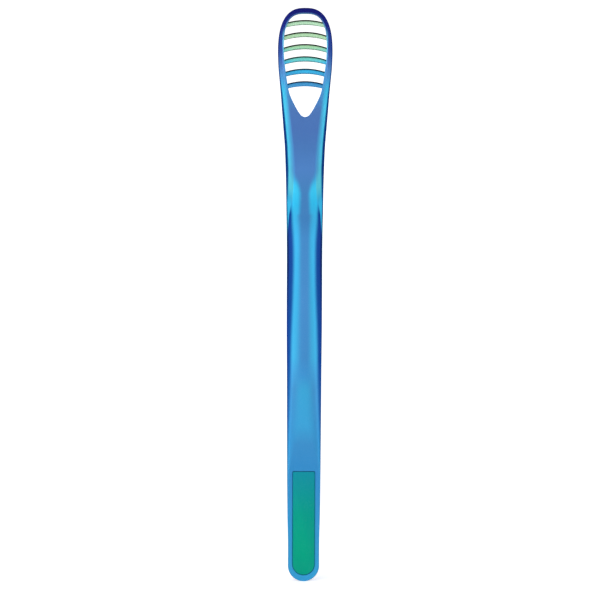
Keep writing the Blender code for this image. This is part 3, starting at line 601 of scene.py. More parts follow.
def make_handle():
    """Handle, neck and head loop as one closed mesh, with the opening through the head."""
    points, faces = [], []

    def add(point):
        points.append(point)
        return len(points) - 1

    rows = [[add(p) for p in row] for row in handle_rows()]
    ring = len(rows[0])
    for lower, upper in zip(rows, rows[1:]):
        for i in range(ring):
            j = (i + 1) % ring
            faces.append((lower[i], lower[j], upper[j], upper[i]))

    # The tail's tip is closed by a narrow strip between the two sides of its lowest row.
    tip = rows[0]
    half_flat = FLAT_STEPS // 2
    chain_length = CORNER_STEPS + len(SIDE_STEPS) + BACK_STEPS + 2
    right_start = FLAT_STEPS - 1
    right = tip[right_start:right_start + chain_length]
    left = list(reversed(tip[-chain_length:]))
    front_tip = tip[:right_start]
    back_tip = tip[right_start + chain_length:-chain_length]
    for k in range(chain_length - 1):
        corners = [left[k], right[k], right[k + 1], left[k + 1]]
        if k == 0:
            corners[1:1] = front_tip
        if k == chain_length - 2:
            corners[-1:-1] = back_tip
        faces.append(tuple(corners))

    # Stations run round the opening: the foot, the right arm, the crown, and the left side back.
    top = rows[-1]
    right_chain = top[right_start:right_start + chain_length]
    left_chain = list(reversed(top[-chain_length:]))
    front_row = [left_chain[0]] + top[:right_start] + [right_chain[0]]
    back_row = [right_chain[-1]] + top[right_start + chain_length:-chain_length] + [left_chain[-1]]
    back_row.reverse()
    side_steps = ARM_STEPS + CROWN_STEPS
    total = half_flat + side_steps

    def arm_chain(step):
        x, z, (nx, nz) = outline_point(step)
        chain = []
        for inset, share in edge_profile(z, head_slope_width(z)):
            px, pz = x - inset * nx, z - inset * nz
            chain.append((max(px, 0.0), between(pz, share), pz))
        return chain

    def mirrored(point):
        return (-point[0], point[1], point[2])

    chains = {half_flat: right_chain, -half_flat: left_chain}
    for step in range(1, side_steps + 1):
        chain = arm_chain(step)
        if step == side_steps:
            chain = [(0.0, p[1], p[2]) for p in chain]
        chains[half_flat + step] = [add(p) for p in chain]
        if step < side_steps:
            chains[-half_flat - step] = [add(mirrored(p)) for p in chain]
    walls = {}
    for step in range(total + 1):
        wall = wall_profile(step)
        if step in (0, total):
            wall = [(0.0, p[1], p[2]) for p in wall]
        walls[step] = [add(p) for p in wall]
        if 0 < step < total:
            walls[-step] = [add(mirrored(p)) for p in wall]

    def outer_pair(station):
        if abs(station) < half_flat:
            return front_row[half_flat + station], back_row[half_flat + station]
        chain = chains[station]
        return chain[0], chain[-1]

    def strip(outer, inner, surface):
        line = [outer]
        for k in range(1, STRIP_STEPS):
            x, _, z = mix(points[outer], points[inner], k / STRIP_STEPS)
            line.append(add((x, surface(z), z)))
        return line + [inner]

    stations = list(range(-total + 1, total + 1))
    loops = {}
    for station in stations:
        outer_front, outer_back = outer_pair(station)
        wall = walls[station]
        loops[station] = (strip(outer_front, wall[0], front) + wall[1:-1]
                          + list(reversed(strip(outer_back, wall[-1], back))))
    for k, station in enumerate(stations):
        following = stations[(k + 1) % len(stations)]
        a, b = loops[station], loops[following]
        for i in range(len(a) - 1):
            faces.append((a[i], a[i + 1], b[i + 1], b[i]))
    for k, station in enumerate(stations):
        following = stations[(k + 1) % len(stations)]
        if station in chains and following in chains:
            a, b = chains[station], chains[following]
            for i in range(len(a) - 1):
                faces.append((a[i], a[i + 1], b[i + 1], b[i]))
    return make_object("handle", points, faces)


def blade_level(number):
    """Top surface of a blade at mid width, carried along the draw direction to y = 0."""
    return OVERALL_HEIGHT * FIRST_BLADE_SHARE - BLADE_PITCH * (number - 1)


def arch_drop(x):
    """Fall of the blade's arch away from its middle."""
    return BLADE_ARCH_RADIUS - math.sqrt(BLADE_ARCH_RADIUS ** 2 - x * x)


def meeting(level, surface):
    """Depth where a surface that falls along the draw direction meets the front or back face."""
    y = 0.0
    for _ in range(DRAW_PASSES):
        y = surface(level + DRAW_SLOPE * y)
    return y


def opening_half_at(z_back):
    """Half width of the opening where its back rim is at this height."""
    total = FLAT_STEPS // 2 + ARM_STEPS + CROWN_STEPS
    last = opening_point(0)
    for step in range(1, total + 1):
        point = opening_point(step)
        if point[1] >= z_back:
            t = (z_back - last[1]) / (point[1] - last[1])
            return last[0] * (1 - t) + point[0] * t
        last = point
    return 0.0


def outline_half_at(z):
    """Half width of the head's outline at a height, up to its crest."""
    centre = OVERALL_HEIGHT * HEAD_CENTRE_SHARE
    if z <= centre:
        return half_width(z)
    up = min((z - centre) / (OVERALL_HEIGHT - centre), 1.0)
    return HALF_HEAD * (1 - up ** HEAD_POWER) ** (1 / HEAD_POWER)


def straight(surface, z, low_share, high_share):
    """Plane through a face's depths at two heights, read at a height."""
    low, high = OVERALL_HEIGHT * low_share, OVERALL_HEIGHT * high_share
    t = (z - low) / (high - low)
    return surface(low) * (1 - t) + surface(high) * t


def recess_floor(z):
    """Depth of the recess's flat floor at a height."""
    return straight(front, z, RECESS_FOOT_SHARE, RECESS_TOP_SHARE) + RECESS_DEPTH


def recess_outline():
    """Outline of the recess in width and height: straight top, foot that rises to both sides."""
    top = OVERALL_HEIGHT * RECESS_TOP_SHARE
    foot = OVERALL_HEIGHT * RECESS_FOOT_SHARE
    rise = OVERALL_HEIGHT * RECESS_SIDE_RISE_SHARE
    wide = HALF_GRIP * RECESS_WIDE_SHARE
    outline = [(wide, top), (-wide, top)]
    for k in range(-RECESS_STEPS, RECESS_STEPS + 1):
        across = k / RECESS_STEPS
        outline.append((wide * across, foot + rise * across * across))
    return outline


def in_recess(u, v, depth):
    """Point below the recess's floor, depth measured into the handle."""
    return (u, recess_floor(v) + depth, v)


def first_rib():
    """Height of the top rib."""
    return OVERALL_HEIGHT * RECESS_TOP_SHARE - RECESS_LENGTH * RIB_MARGIN_SHARES[0]


def rib_half(z):
    """Half length of a rib at a height."""
    return HALF_GRIP * along(RIB_HALF_SHARES, z / OVERALL_HEIGHT)


def plate_outline(margin):
    """Label plate in its own plane: round foot, small corners at the top."""
    half = PLATE_WIDTH / 2 + margin
    foot = OVERALL_HEIGHT * PLATE_FOOT_SHARE
    centre = foot + PLATE_WIDTH / 2
    top = foot + PLATE_LENGTH + margin
    corner = PLATE_CORNER + margin
    outline = []
    for k in range(ROUND_STEPS + 1):
        turn = math.pi + math.pi * k / ROUND_STEPS
        outline.append((half * math.cos(turn), centre + half * math.sin(turn)))
    for side in (1, -1):
        for k in range(SMALL_ROUND_STEPS + 1):
            turn = math.pi / 2 * (k / SMALL_ROUND_STEPS + (side < 0))
            outline.append((side * (half - corner) + corner * math.cos(turn),
                            top - corner + corner * math.sin(turn)))
    return outline


def on_back(u, v, depth):
    """Point on the flat back of the tail, depth measured into the handle."""
    return (u, straight(back, v, 0.0, FLAT_BACK_SHARE) - depth, v)


def blade_column(x, level, y_tip, y_face, y_back, through):
    """Points on a blade's top and underside at one place across it, from its front rim to the face of
    the arm and, where it goes through the opening, on to its rounded edge at the back."""
    radius = BLADE_RIM / 2
    y_round = y_back - BLADE_ROUND
    turns = [math.pi / 2 * k / RIM_STEPS for k in range(RIM_STEPS + 1)]
    rows = [(y_tip + radius * (1 - math.cos(turn)), math.sin(turn)) for turn in turns]
    rows += [(y_tip + radius + (y_face - y_tip - radius) * t, 1.0) for t in BLADE_FACE_STEPS]
    if through:
        rows += [(y_face + (y_round - y_face) * t, 1.0) for t in BLADE_BACK_STEPS]
        rows += [(y_round + BLADE_ROUND * math.sin(turn), 1.0) for turn in turns[1:]]
    column = []
    for y, share in rows:
        run = min(max((y - y_tip) / (y_back - y_tip), 0.0), 1.0)
        thick = BLADE_RIM + (BLADE_THICKNESS - BLADE_RIM) * run
        fill = BLADE_FILL * min(FILL_START_SHARE + (1 - FILL_START_SHARE) * run / FILL_END_SHARE, 1.0)
        middle = level + DRAW_SLOPE * y - thick / 2
        # The two faces stay a hair apart at the very rim so that the plate is closed.
        apart = max(thick / 2 * share, BLADE_RIM * BLADE_OPEN_SHARE)
        past = min(max((y - y_round) / BLADE_ROUND, 0.0), 1.0)
        drop = BLADE_ROUND * (1 - math.sqrt(1 - past * past))
        column.append(((x, y, middle + apart - drop), (x, y, middle - apart - fill)))
    return column


def make_blade(number):
    """Arched plate that grows out of both arms, its shoulders lying over their front faces."""
    level = blade_level(number)
    reach = BLADE_REACH - BLADE_LEAN_SHARE * BLADE_PITCH * (number - 1)
    low = level - arch_drop(HALF_OPENING * BLADE_FOOT_SHARE) - BLADE_THICKNESS / 2
    web = opening_half_at(low + DRAW_SLOPE * meeting(low, back)) + SINK
    arm_level = level - arch_drop(web)
    half = outline_half_at(arm_level + DRAW_SLOPE * meeting(arm_level, front))
    end = BLADE_END_SHARE * half
    tip_depth = meeting(level, front) + reach
    side = [web * k / WEB_STEPS for k in range(WEB_STEPS + 1)]
    side += [web + (end - web) * math.sin(math.pi / 2 * k / SHOULDER_STEPS)
             for k in range(1, SHOULDER_STEPS + 1)]
    columns = []
    for x in [-s for s in reversed(side[1:])] + side:
        top = level - arch_drop(x)
        y_face = meeting(top, front)
        y_tip = y_face - tip_depth * math.sqrt(1 - (x / half) ** 2)
        y_back = meeting(top, back) - EDGE_RADIUS * BLADE_SETBACK_SHARE
        through = abs(x) <= web + SINK * MERGE_SHARE
        columns.append(blade_column(x, top, y_tip, y_face + SINK, y_back, through))
    blade = slab(f"blade_{number}", columns)
    soften(blade, BLADE_BEVEL, BLADE_BEVEL_DEGREES)
    return blade


def lip_column(side, step, widest):
    """Points on the lip's top and underside at one step round the crown, from its rim to its feet."""
    x_out, z_out, (nx, nz) = outline_point(ARM_STEPS + step)
    x_in, z_in, _ = opening_point(FLAT_STEPS // 2 + ARM_STEPS + step)
    if step == CROWN_STEPS:
        x_out = x_in = 0.0
    _, z_rim = on_draw_line(z_in, 0.0)
    x_out -= EDGE_RADIUS * LIP_SETBACK_SHARE * nx
    z_out -= EDGE_RADIUS * LIP_SETBACK_SHARE * nz
    long = (front(OVERALL_HEIGHT) + BLADE_REACH) * math.sqrt(max(1 - (x_out / widest) ** 2, 0.0))
    top_foot = (side * x_out, front(z_out) + SINK, z_out)
    low_foot = (side * x_in, front(z_rim) + SINK, z_rim)
    x, y, z = mix(top_foot, low_foot, LIP_RIM_SHARE)
    y_tip, z_tip = y - SINK - long, z - DRAW_SLOPE * (SINK + long)
    radius = BLADE_RIM / 2
    column = []
    for k in range(RIM_STEPS + 1):
        turn = math.pi / 2 * k / RIM_STEPS
        run, apart = radius * (1 - math.cos(turn)), radius * max(math.sin(turn), LIP_OPEN_SHARE)
        y, z = y_tip + run, z_tip + DRAW_SLOPE * run
        column.append(((x, y, z + apart), (x, y, z - apart)))
    y, z = y_tip + radius, z_tip + DRAW_SLOPE * radius
    for t in LIP_STEPS:
        top = mix((x, y, z + radius), top_foot, t)
        low = mix((x, y, z - radius), low_foot, t)
        # The top bulges a little between the rim and its foot.
        column.append(((top[0], top[1], top[2] + radius * (1 - t) * t), low))
    return column


def make_lip():
    """First blade: a lip in front of the crown that follows the loop's top arc."""
    first = 0
    while outline_point(ARM_STEPS + first)[0] > LIP_HALF_SHARE * HALF_HEAD:
        first += 1
    widest = outline_point(ARM_STEPS + first)[0] * LIP_SPREAD_SHARE
    steps = list(range(first, CROWN_STEPS + 1))
    places = [(-1, step) for step in steps] + [(1, step) for step in reversed(steps[:-1])]
    return slab("blade_1", [lip_column(side, step, widest) for side, step in places])


def rib_mesh():
    """One thumb rib of unit half length: a rounded ridge whose ends roll down to the floor."""
    foot = -RIB_EMBED / RIB_HEIGHT
    power, flattening = RIB_ROUND_POWERS
    profile = [(-0.5, foot)]
    for k in range(RIDGE_STEPS + 1):
        across = -1 + 2 * k / RIDGE_STEPS
        profile.append((across / 2, (1 - abs(across) ** power) ** flattening))
    profile.append((0.5, foot))
    stations = []
    for k in range(RIB_END_STEPS + 1):
        turn = math.pi / 2 * k / RIB_END_STEPS
        stations.append((-1 + RIB_END_SHARE * (1 - math.cos(turn)), max(math.sin(turn), RIB_TIP_SHARE)))
    stations += [(-x, scale) for x, scale in reversed(stations)]
    points, faces = [], []
    for x, scale in stations:
        for across, up in profile:
            height = up * RIB_HEIGHT * (scale if up > 0 else 1.0)
            points.append((x, -height, across * RIB_WIDTH * scale))
    count = len(profile)
    for s in range(len(stations) - 1):
        for k in range(count):
            a, b = s * count + k, s * count + (k + 1) % count
            faces.append((a, b, b + count, a + count))
    faces.append(tuple(range(count)))
    faces.append(tuple((len(stations) - 1) * count + k for k in reversed(range(count))))
    return make_object("rib_unit", points, faces, RIB_CRISP_DEGREES)


def rib_tree(rib, material, sizes):
    """Node tree that lays the ribs down the grip, with an input for each of their sizes."""
    tree = bpy.data.node_groups.new("thumb_ribs", "GeometryNodeTree")
    for label, size in sizes.items():
        kind = "NodeSocketInt" if isinstance(size, int) else "NodeSocketFloat"
        tree.interface.new_socket(label, in_out="INPUT", socket_type=kind)
    tree.interface.new_socket("Geometry", in_out="OUTPUT", socket_type="NodeSocketGeometry")
    add = adder(tree)
    given = add("NodeGroupInput").outputs
    index = add("GeometryNodeInputIndex")
    share = add("divide", index, add("subtract", given["Count"], 1.0))
    height = add("subtract", given["Top height"], add("multiply", index, given["Spacing"]))
    depth = add("range", share, 0.0, 1.0, given["Depth at top"], given["Depth at foot"])
    half = add("range", share, 0.0, 1.0, given["Half length at top"], given["Half length at foot"])
    places = add("GeometryNodePoints", given["Count"], add("ShaderNodeCombineXYZ", 0.0, depth, height))
    source = add("GeometryNodeObjectInfo", rib)
    laid = add("GeometryNodeInstanceOnPoints", inputs={
        "Points": places, "Instance": source.outputs["Geometry"],
        "Scale": add("ShaderNodeCombineXYZ", half, 1.0, 1.0)})
    real = add("GeometryNodeRealizeInstances", laid)
    coloured = add("GeometryNodeSetMaterial", inputs={"Geometry": real, "Material": material})
    add("NodeGroupOutput", coloured)
    return tree


def make_ribs(material):
    """All thumb ribs as one mesh, laid out by the node tree."""
    top = first_rib()
    foot = top - RIB_PITCH * (RIB_COUNT - 1)
    sizes = {
        "Count": RIB_COUNT, "Spacing": RIB_PITCH, "Top height": top,
        "Depth at top": recess_floor(top), "Depth at foot": recess_floor(foot),
        "Half length at top": rib_half(top), "Half length at foot": rib_half(foot),
    }
    rib = rib_mesh()
    ribs = make_object("thumb_ribs", [(0, 0, 0)], [])
    modifier = ribs.modifiers.new("ribs", "NODES")
    modifier.node_group = rib_tree(rib, material, sizes)
    for socket in modifier.node_group.interface.items_tree:
        if socket.in_out == "INPUT":
            modifier[socket.identifier] = sizes[socket.name]
    ribs.update_tag()
    settle(ribs, RIB_CRISP_DEGREES)
    bpy.data.objects.remove(rib, do_unlink=True)
    return ribs


def make_body():
    """Handle with its thumb recess and the shallow bed of the label."""
    handle = make_handle()
    cut(handle, prism("recess_cutter", recess_outline(), -GRIP_DEPTH, 0.0, in_recess))
    cut(handle, prism("label_cutter", plate_outline(PLATE_GAP), -GRIP_DEPTH, PLATE_THICKNESS, on_back))
    shade(handle.data, HANDLE_CRISP_DEGREES)
    return handle


def make_plate():
    """Bare label plate, its rim rounded."""
    plate = prism("label", plate_outline(0.0), 0.0, PLATE_THICKNESS + PLATE_FLOOR_GAP, on_back)
    soften(plate, PLATE_BEVEL, PLATE_BEVEL_DEGREES)
    return plate


# Plain names for the nodes that come up most, each with its kind and settings
NODES = {
    "split": ("ShaderNodeSeparateXYZ", {}),
    "ramp": ("ShaderNodeValToRGB", {}),
    "range": ("ShaderNodeMapRange", {}),
    "ease": ("ShaderNodeMapRange", {"interpolation_type": "SMOOTHSTEP"}),
    "mix": ("ShaderNodeMix", {"data_type": "RGBA"}),
}
for operation in ("ADD", "SUBTRACT", "MULTIPLY", "DIVIDE", "POWER", "SQRT", "ABSOLUTE", "MAXIMUM",
                  "MINIMUM"):
    NODES[operation.lower()] = ("ShaderNodeMath", {"operation": operation})


def colour(given):
    """Linear colour of an sRGB hex code, or the grey that stands for a number in a ramp."""
    if not isinstance(given, str):
        return (given, given, given, 1.0)
    values = [int(given[k:k + 2], 16) / 255 for k in (1, 3, 5)]
    return (*(v / 12.92 if v <= 0.04045 else ((v + 0.055) / 1.055) ** 2.4 for v in values), 1.0)


def adder(tree):
    """Gives the function that adds nodes to a tree."""
    def add(kind, *values, inputs=None, stops=(), **settings):
        """Adds a node with its settings and, for a ramp, its stops. The values go to its inputs in
        order, the others to the inputs they name, and a node among them is joined by its output."""
        kind, usual = NODES.get(kind, (kind, {}))
        node = tree.nodes.new(kind)
        for key, value in {**usual, **settings}.items():
            setattr(node, key, value)
        filled = list(zip([socket for socket in node.inputs if socket.enabled], values))
        filled += [(node.inputs[key], value) for key, value in (inputs or {}).items()]
        for socket, value in filled:
            if isinstance(value, bpy.types.Node):
                value = next(output for output in value.outputs if output.enabled)
            if isinstance(value, bpy.types.NodeSocket):
                tree.links.new(value, socket)
            else:
                socket.default_value = value
        if stops:
            elements = node.color_ramp.elements
            elements.remove(elements[-1])
            for k, (place, given) in enumerate(stops):
                element = elements[0] if k == 0 else elements.new(place)
                element.position = place
                element.color = colour(given)
        return node
    return add


def new_material(name):
    """Material without nodes, and the function that adds them."""
    material = bpy.data.materials.new(name)
    material.use_nodes = True
    material.node_tree.nodes.clear()
    return material, adder(material.node_tree)


# Bounds between which one tone gives way to the next: at the first there is none of the new tone yet,
# and from the second on nothing else.

# How far the surface is turned off the back or the front
SLOPE_TURN = (0.02, 0.42)
DEEP_TURN = (0.50, 0.80)
# Facing backward: 1 on the back, -1 on the front. The edge's bounds are measured from EDGE_STARTS.
EDGE_FACING = (-0.07, 0.07)
CREASE_FACING = (0.20, 0.06)
SHOULDER_FACING = (-0.10, -0.38)
FRONT_FACING = (-0.66, -0.90)
WALL_FACING = (-0.88, -0.60)
WALL_RIM_FACING = (0.15, 0.55)
BRINK_FACING = (0.2, 0.5)
BAR_FACING = (-0.15, 0.15)
RIM_FACING = (0.0, -0.25)
# Facing up: 1 on top, -1 underneath
TOP_FACING = (0.20, 0.45)
BLADE_TOP_FACING = (-0.02, 0.23)
UNDER_FACING = (-0.30, -0.70)
RIM_UNDER_FACING = (-0.10, -0.50)
# Facing sideways
END_FACING = (0.40, 0.75)
# Facing away from the opening's middle, times the distance from it in metres
OUTWARD = (-0.0008, -0.0030)
# Heights, as shares of OVERALL_HEIGHT
NECK_FOOT_SHARES = (0.69, 0.72)
NECK_TOP_SHARES = (0.88, 0.86)
STRAND_TOP_SHARES = (0.675, 0.655)
WALL_FOOT_SHARES = (0.80, 0.82)
BRINK_FOOT_SHARES = (0.862, 0.885)
# Distances inward from the outline
NECK_FADE = (0.0010, 0.0030)
STRAND_RIM = (0.00026, 0.00052)
# Distances in front of the head's back face
TOP_LINE_DEPTH = (0.0010, 0.0024)
UNDER_FRONT_DEPTH = (0.0025, 0.0060)
# Distance from the middle that the bars reach, as shares of HALF_OPENING
BAR_SHARES = (1.04, 0.94)
# Distance from the opening's middle, as shares of its own outline there
BRINK_SHARES = (1.068, 1.015)
# Distance from the band's facing, in band widths
BAND_REACH = (3.0, 1.5)
BAND_CORE_REACH = (1.5, 0.6)
# Width left of the strand of light, in STRAND_UNIT
STRAND_LEFT = (-0.005, 0.025)
STRAND_UNIT = 0.01

# Greatest cover of the neck's fade and of the strand, and the strand's tone, a painted highlight
NECK_COVER = 0.8
STRAND_COVER = 0.9
STRAND_HIGHLIGHT_TONE = "#48C6F0"
# Width of the flare where the neck's ridges start, as a share of HALF_GRIP, and its greatest turn
FLARE_WIDTH_SHARE = 0.8
FLARE_TURN = 0.45
# Lean of the head's back face, near enough: the share of OVERALL_HEIGHT where it crosses the middle
# plane, and how far back it would lie a whole OVERALL_HEIGHT below that
BACK_ZERO_SHARE = 0.975
BACK_LEAN = 0.040

# Patterns, each by how many there are in a millimetre: flow lines, pearl flakes and ripples
MM_PER_METRE = 1000
FLOW_PER_MM = (0.26, 0.26, 0.06)
FLAKES_PER_MM = 9.0
RIPPLES_PER_MM = 0.42
# Strength of the drift, and its share along the height
SWAY = 0.03
HEIGHT_SWAY_SHARE = 0.3
FLAKE_LEVELS = (0.50, 0.75)
FLAKE_COVER = 0.05
FLAKE_TONE = "#D8F4F4"
RIPPLE_STRENGTH = 0.05
RIPPLE_HEIGHT = 0.0002
ROUGHNESS = (0.26, 0.36)

# Tables of heights, as shares of OVERALL_HEIGHT, and what holds there

# Where the dark edge, a painted shade, starts: the share of the surface's facing that points backward
EDGE_STARTS = [(0.0, 0.37), (0.60, 0.40), (0.634, 0.27), (0.66, 0.35), (0.687, 0.47), (0.72, 0.60),
               (0.757, 0.64), (0.792, 0.66), (0.82, 0.63), (0.85, 0.58), (0.88, 0.48), (0.917, 0.44),
               (0.943, 0.42), (0.963, 0.44), (1.0, 0.46)]
# How much further round to the front the painted highlight at the crease reaches
CREASE_REACH = [(0.0, 0.0), (0.64, 0.0), (0.70, 0.16), (0.80, 0.22), (1.0, 0.22)]
# Width of the strand of light beside the grip's top, in STRAND_UNIT
STRAND_WIDTHS = [(0.0, 0.0), (0.588, 0.0), (0.60, 0.035), (0.64, 0.105), (0.66, 0.175), (1.0, 0.175)]
# Half width of the body, as a share of the head's
HALF_WIDTH_STEPS = 25
HALF_WIDTHS = [(k / HALF_WIDTH_STEPS, half_width(OVERALL_HEIGHT * k / HALF_WIDTH_STEPS) / HALF_HEAD)
               for k in range(HALF_WIDTH_STEPS + 1)]
# Width of the opening, as a share of the head's. Above its widest place the line runs on, which keeps
# the brink's painted highlight on the way to the crown.
LEAST_WIDTH_SHARE = 0.05
WIDTH_ABOVE_SHARE = 1.104
OPENING_PLACES = [(OPENING_FOOT_SHARE + rise * (OPENING_WIDEST_SHARE - OPENING_FOOT_SHARE), width)
                  for width, rise in OPENING_SHARES]
OPENING_WIDTHS = [(height, max(width, LEAST_WIDTH_SHARE) * OPENING_WIDTH / HEAD_WIDTH)
                  for height, width in [(0.0, 0.0), *OPENING_PLACES, (1.0, WIDTH_ABOVE_SHARE)]]
# Where the slopes' tone starts on the flat back, as a share of the flare's width
FLARE_STARTS = [(0.0, 1.0), (0.60, 1.0), (0.62, 0.6), (0.645, 0.15), (0.680, 0.10), (0.695, 0.24),
                (0.71, 0.44), (0.735, 0.85), (1.0, 1.0)]
# The painted highlight along the facet, a band of light: the facing it lies at, and its width
BAND_FACINGS = [(0.0, 0.60), (0.21, 0.59), (0.315, 0.57), (0.37, 0.52), (0.44, 0.36), (1.0, 0.36)]
BAND_WIDTHS = [(0.0, 0.10), (0.12, 0.09), (0.21, 0.045), (0.30, 0.06), (0.37, 0.12), (0.44, 0.16),
               (1.0, 0.16)]


# Pearlescent injection-moulded ABS, with light and shade painted into its colour: each facing of the
# surface gets its own tone of painted highlight and shade, and the tones drift from the tail to the head.
# Tones, from the back round to the front: the flat back, the slopes beside it (a painted reflection), their
# steep ends (painted highlight on the neck, painted shade on the grip), the dark edge (painted shade), the
# bright line at the side crease (a painted highlight), the shoulder in front of it (painted shade), and
# the front. Then come the band of light along the facet between the last two and its core (a painted
# highlight), the walls of the opening and their rim (a painted highlight), what faces up and its line at
# the back (painted shade), what faces down and its front part (painted light and shade), the lower half
# of the blades' rims and the ribs' ends (painted highlights).
def abs_with_painted_light(name, flat, slope, deep, edge, crease, shoulder, front_side, highlight_band=None, highlight_band_core=None,
              inside=None, inside_rim_highlight=None, top=None, top_shade_line=None, under_light_and_shade=None, under_front_highlight=None,
              rim_low_highlight=None, end_highlights=None, along_blades=False, pearl=0.30):
    material, add = new_material(name)
    place = add("ShaderNodeTexCoord").outputs
    spot = add("split", place["Object"]).outputs
    facing = add("split", place["Normal"]).outputs
    from_middle = add("absolute", spot["X"])
    level = spot["Z"]
    if along_blades:
        level = add("subtract", level, add("multiply", spot["Y"], DRAW_SLOPE))
    # Slow drift of the tones, as flow lines of the pearl pigment leave it
    scale = [lines * MM_PER_METRE for lines in FLOW_PER_MM]
    flow = add("ShaderNodeMapping", inputs={"Vector": place["Object"], "Scale": scale})
    drift = add("ShaderNodeTexNoise", inputs={"Vector": flow, "Scale": 1.0, "Detail": 3.0})
    sway = add("multiply", add("subtract", drift, 0.5), SWAY)
    height = add("add", add("divide", level, OVERALL_HEIGHT), add("multiply", sway, HEIGHT_SWAY_SHARE))
    behind = add("add", facing["Y"], sway)
    sheer = add("subtract", 1.0, add("power", facing["Y"], 2.0))
    aside = add("add", add("sqrt", add("maximum", sheer, 0.0)), sway)

    def where(*spans):
        """Mask that is full where each value has passed its second bound."""
        masks = [add("ease", value, *bounds) for value, bounds in spans]
        mask = masks[0]
        for other in masks[1:]:
            mask = add("multiply", mask, other)
        return mask

    def at_height(stops):
        """Tone or number at this height, from a table."""
        return add("ramp", height, stops=stops)

    def lay(below, mask, stops):
        """Lays the tones of a table over what is there."""
        return add("mix", mask, below, at_height(stops))

    if not along_blades:
        # Where the neck's ridges leave the grip, the slopes' painted highlight starts nearer the middle.
        flare = add("subtract", add("divide", from_middle, HALF_GRIP * FLARE_WIDTH_SHARE),
                    at_height(FLARE_STARTS))
        aside = add("maximum", aside, add("minimum", flare, FLARE_TURN))
    tone = lay(at_height(flat), where((aside, SLOPE_TURN)), slope)
    tone = lay(tone, where((aside, DEEP_TURN)), deep)
    if not along_blades:
        # On the neck the slopes' painted highlight fades towards the flat back.
        inboard = add("subtract", add("multiply", at_height(HALF_WIDTHS), HALF_HEAD), from_middle)
        fade = where((inboard, NECK_FADE), (height, NECK_FOOT_SHARES), (height, NECK_TOP_SHARES))
        tone = lay(tone, add("multiply", fade, NECK_COVER), flat)
    # The dark edge where the surface turns sideways is painted shade.
    rim = add("subtract", at_height(EDGE_STARTS), behind)
    tone = lay(tone, where((rim, EDGE_FACING)), edge)
    turned = behind
    if not along_blades:
        # The slopes' painted highlight runs down into the painted shade of the grip's dark edge as a
        # strand that narrows to nothing.
        left = add("subtract", at_height(STRAND_WIDTHS), add("divide", inboard, STRAND_UNIT))
        strand = where((left, STRAND_LEFT), (inboard, STRAND_RIM), (height, STRAND_TOP_SHARES))
        tone = add("mix", add("multiply", strand, STRAND_COVER), tone, colour(STRAND_HIGHLIGHT_TONE))
        turned = add("add", behind, at_height(CREASE_REACH))
    # Painted highlight on the side crease, painted shade on the shoulder in front of it, then the front's
    # tone.
    tone = lay(tone, where((behind, CREASE_FACING)), crease)
    tone = lay(tone, where((turned, SHOULDER_FACING)), shoulder)
    tone = lay(tone, where((behind, FRONT_FACING)), front_side)
    if highlight_band:
        # How far the facing is from the painted highlight's band, in band widths
        off = add("absolute", add("add", behind, at_height(BAND_FACINGS)))
        off = add("divide", off, at_height(BAND_WIDTHS))
        tone = lay(tone, where((off, BAND_REACH)), highlight_band)
        tone = lay(tone, where((off, BAND_CORE_REACH)), highlight_band_core)
    if inside:
        # The walls of the opening are what faces its middle.
        rise = add("subtract", spot["Z"], OVERALL_HEIGHT * OPENING_WIDEST_SHARE)
        outward = add("add", add("multiply", facing["X"], spot["X"]), add("multiply", facing["Z"], rise))
        # Their rim gets a painted highlight.
        walls = lay(at_height(inside), where((behind, WALL_RIM_FACING)), inside_rim_highlight)
        inward = where((outward, OUTWARD), (height, WALL_FOOT_SHARES), (behind, WALL_FACING))
        tone = add("mix", inward, tone, walls)
        # The brink of the back face round the opening gets the same painted highlight as the rim it rolls
        # into.
        across = add("divide", from_middle, add("multiply", at_height(OPENING_WIDTHS), HALF_HEAD))
        aloft = add("divide", add("maximum", rise, 0.0),
                    OVERALL_HEIGHT * (OPENING_TOP_SHARE - OPENING_WIDEST_SHARE))
        reach = add("add", add("power", across, OPENING_POWER), add("power", aloft, OPENING_POWER))
        reach = add("power", reach, 1 / OPENING_POWER)
        brink = where((reach, BRINK_SHARES), (height, BRINK_FOOT_SHARES), (behind, BRINK_FACING))
        tone = lay(tone, brink, inside_rim_highlight)
    # How far a point lies in front of the head's back face
    depth = add("subtract", add("multiply", add("subtract", BACK_ZERO_SHARE, height), BACK_LEAN), spot["Y"])
    # What faces up gets its own tone, dark as painted shade on the crown's top and on the blades, and the
    # blades a painted shade line along the back edge.
    if top:
        upper = at_height(top)
        if top_shade_line:
            upper = add("mix", where((depth, TOP_LINE_DEPTH)), at_height(top_shade_line), upper)
        upward = where((facing["Z"], BLADE_TOP_FACING if along_blades else TOP_FACING))
        tone = add("mix", upward, tone, upper)
    gloss = pearl
    # What faces down gets painted light and shade: pale on the bars and the opening's ceiling, dark under
    # the ribs, with a painted highlight on the front part of the blades' undersides.
    if under_light_and_shade:
        spans = [(facing["Z"], UNDER_FACING)]
        if along_blades:
            # Only the bars in the opening get the painted light underneath: the shoulders stay dark.
            bounds = [HALF_OPENING * share for share in BAR_SHARES]
            spans += [(behind, BAR_FACING), (from_middle, bounds)]
        down = where(*spans)
        lower = at_height(under_light_and_shade)
        if under_front_highlight:
            lower = lay(lower, where((depth, UNDER_FRONT_DEPTH)), under_front_highlight)
        tone = add("mix", down, tone, lower)
        # What faces down is seen so flat that it would mirror the floor: it stays dull.
        gloss = add("multiply", add("subtract", 1.0, down), pearl)
    # The lower half of the blades' rims gets a painted highlight.
    if rim_low_highlight:
        tone = lay(tone, where((facing["Z"], RIM_UNDER_FACING), (behind, RIM_FACING)), rim_low_highlight)
    # The ribs' rolled ends get a painted highlight.
    if end_highlights:
        tone = lay(tone, where((add("absolute", facing["X"]), END_FACING)), end_highlights)
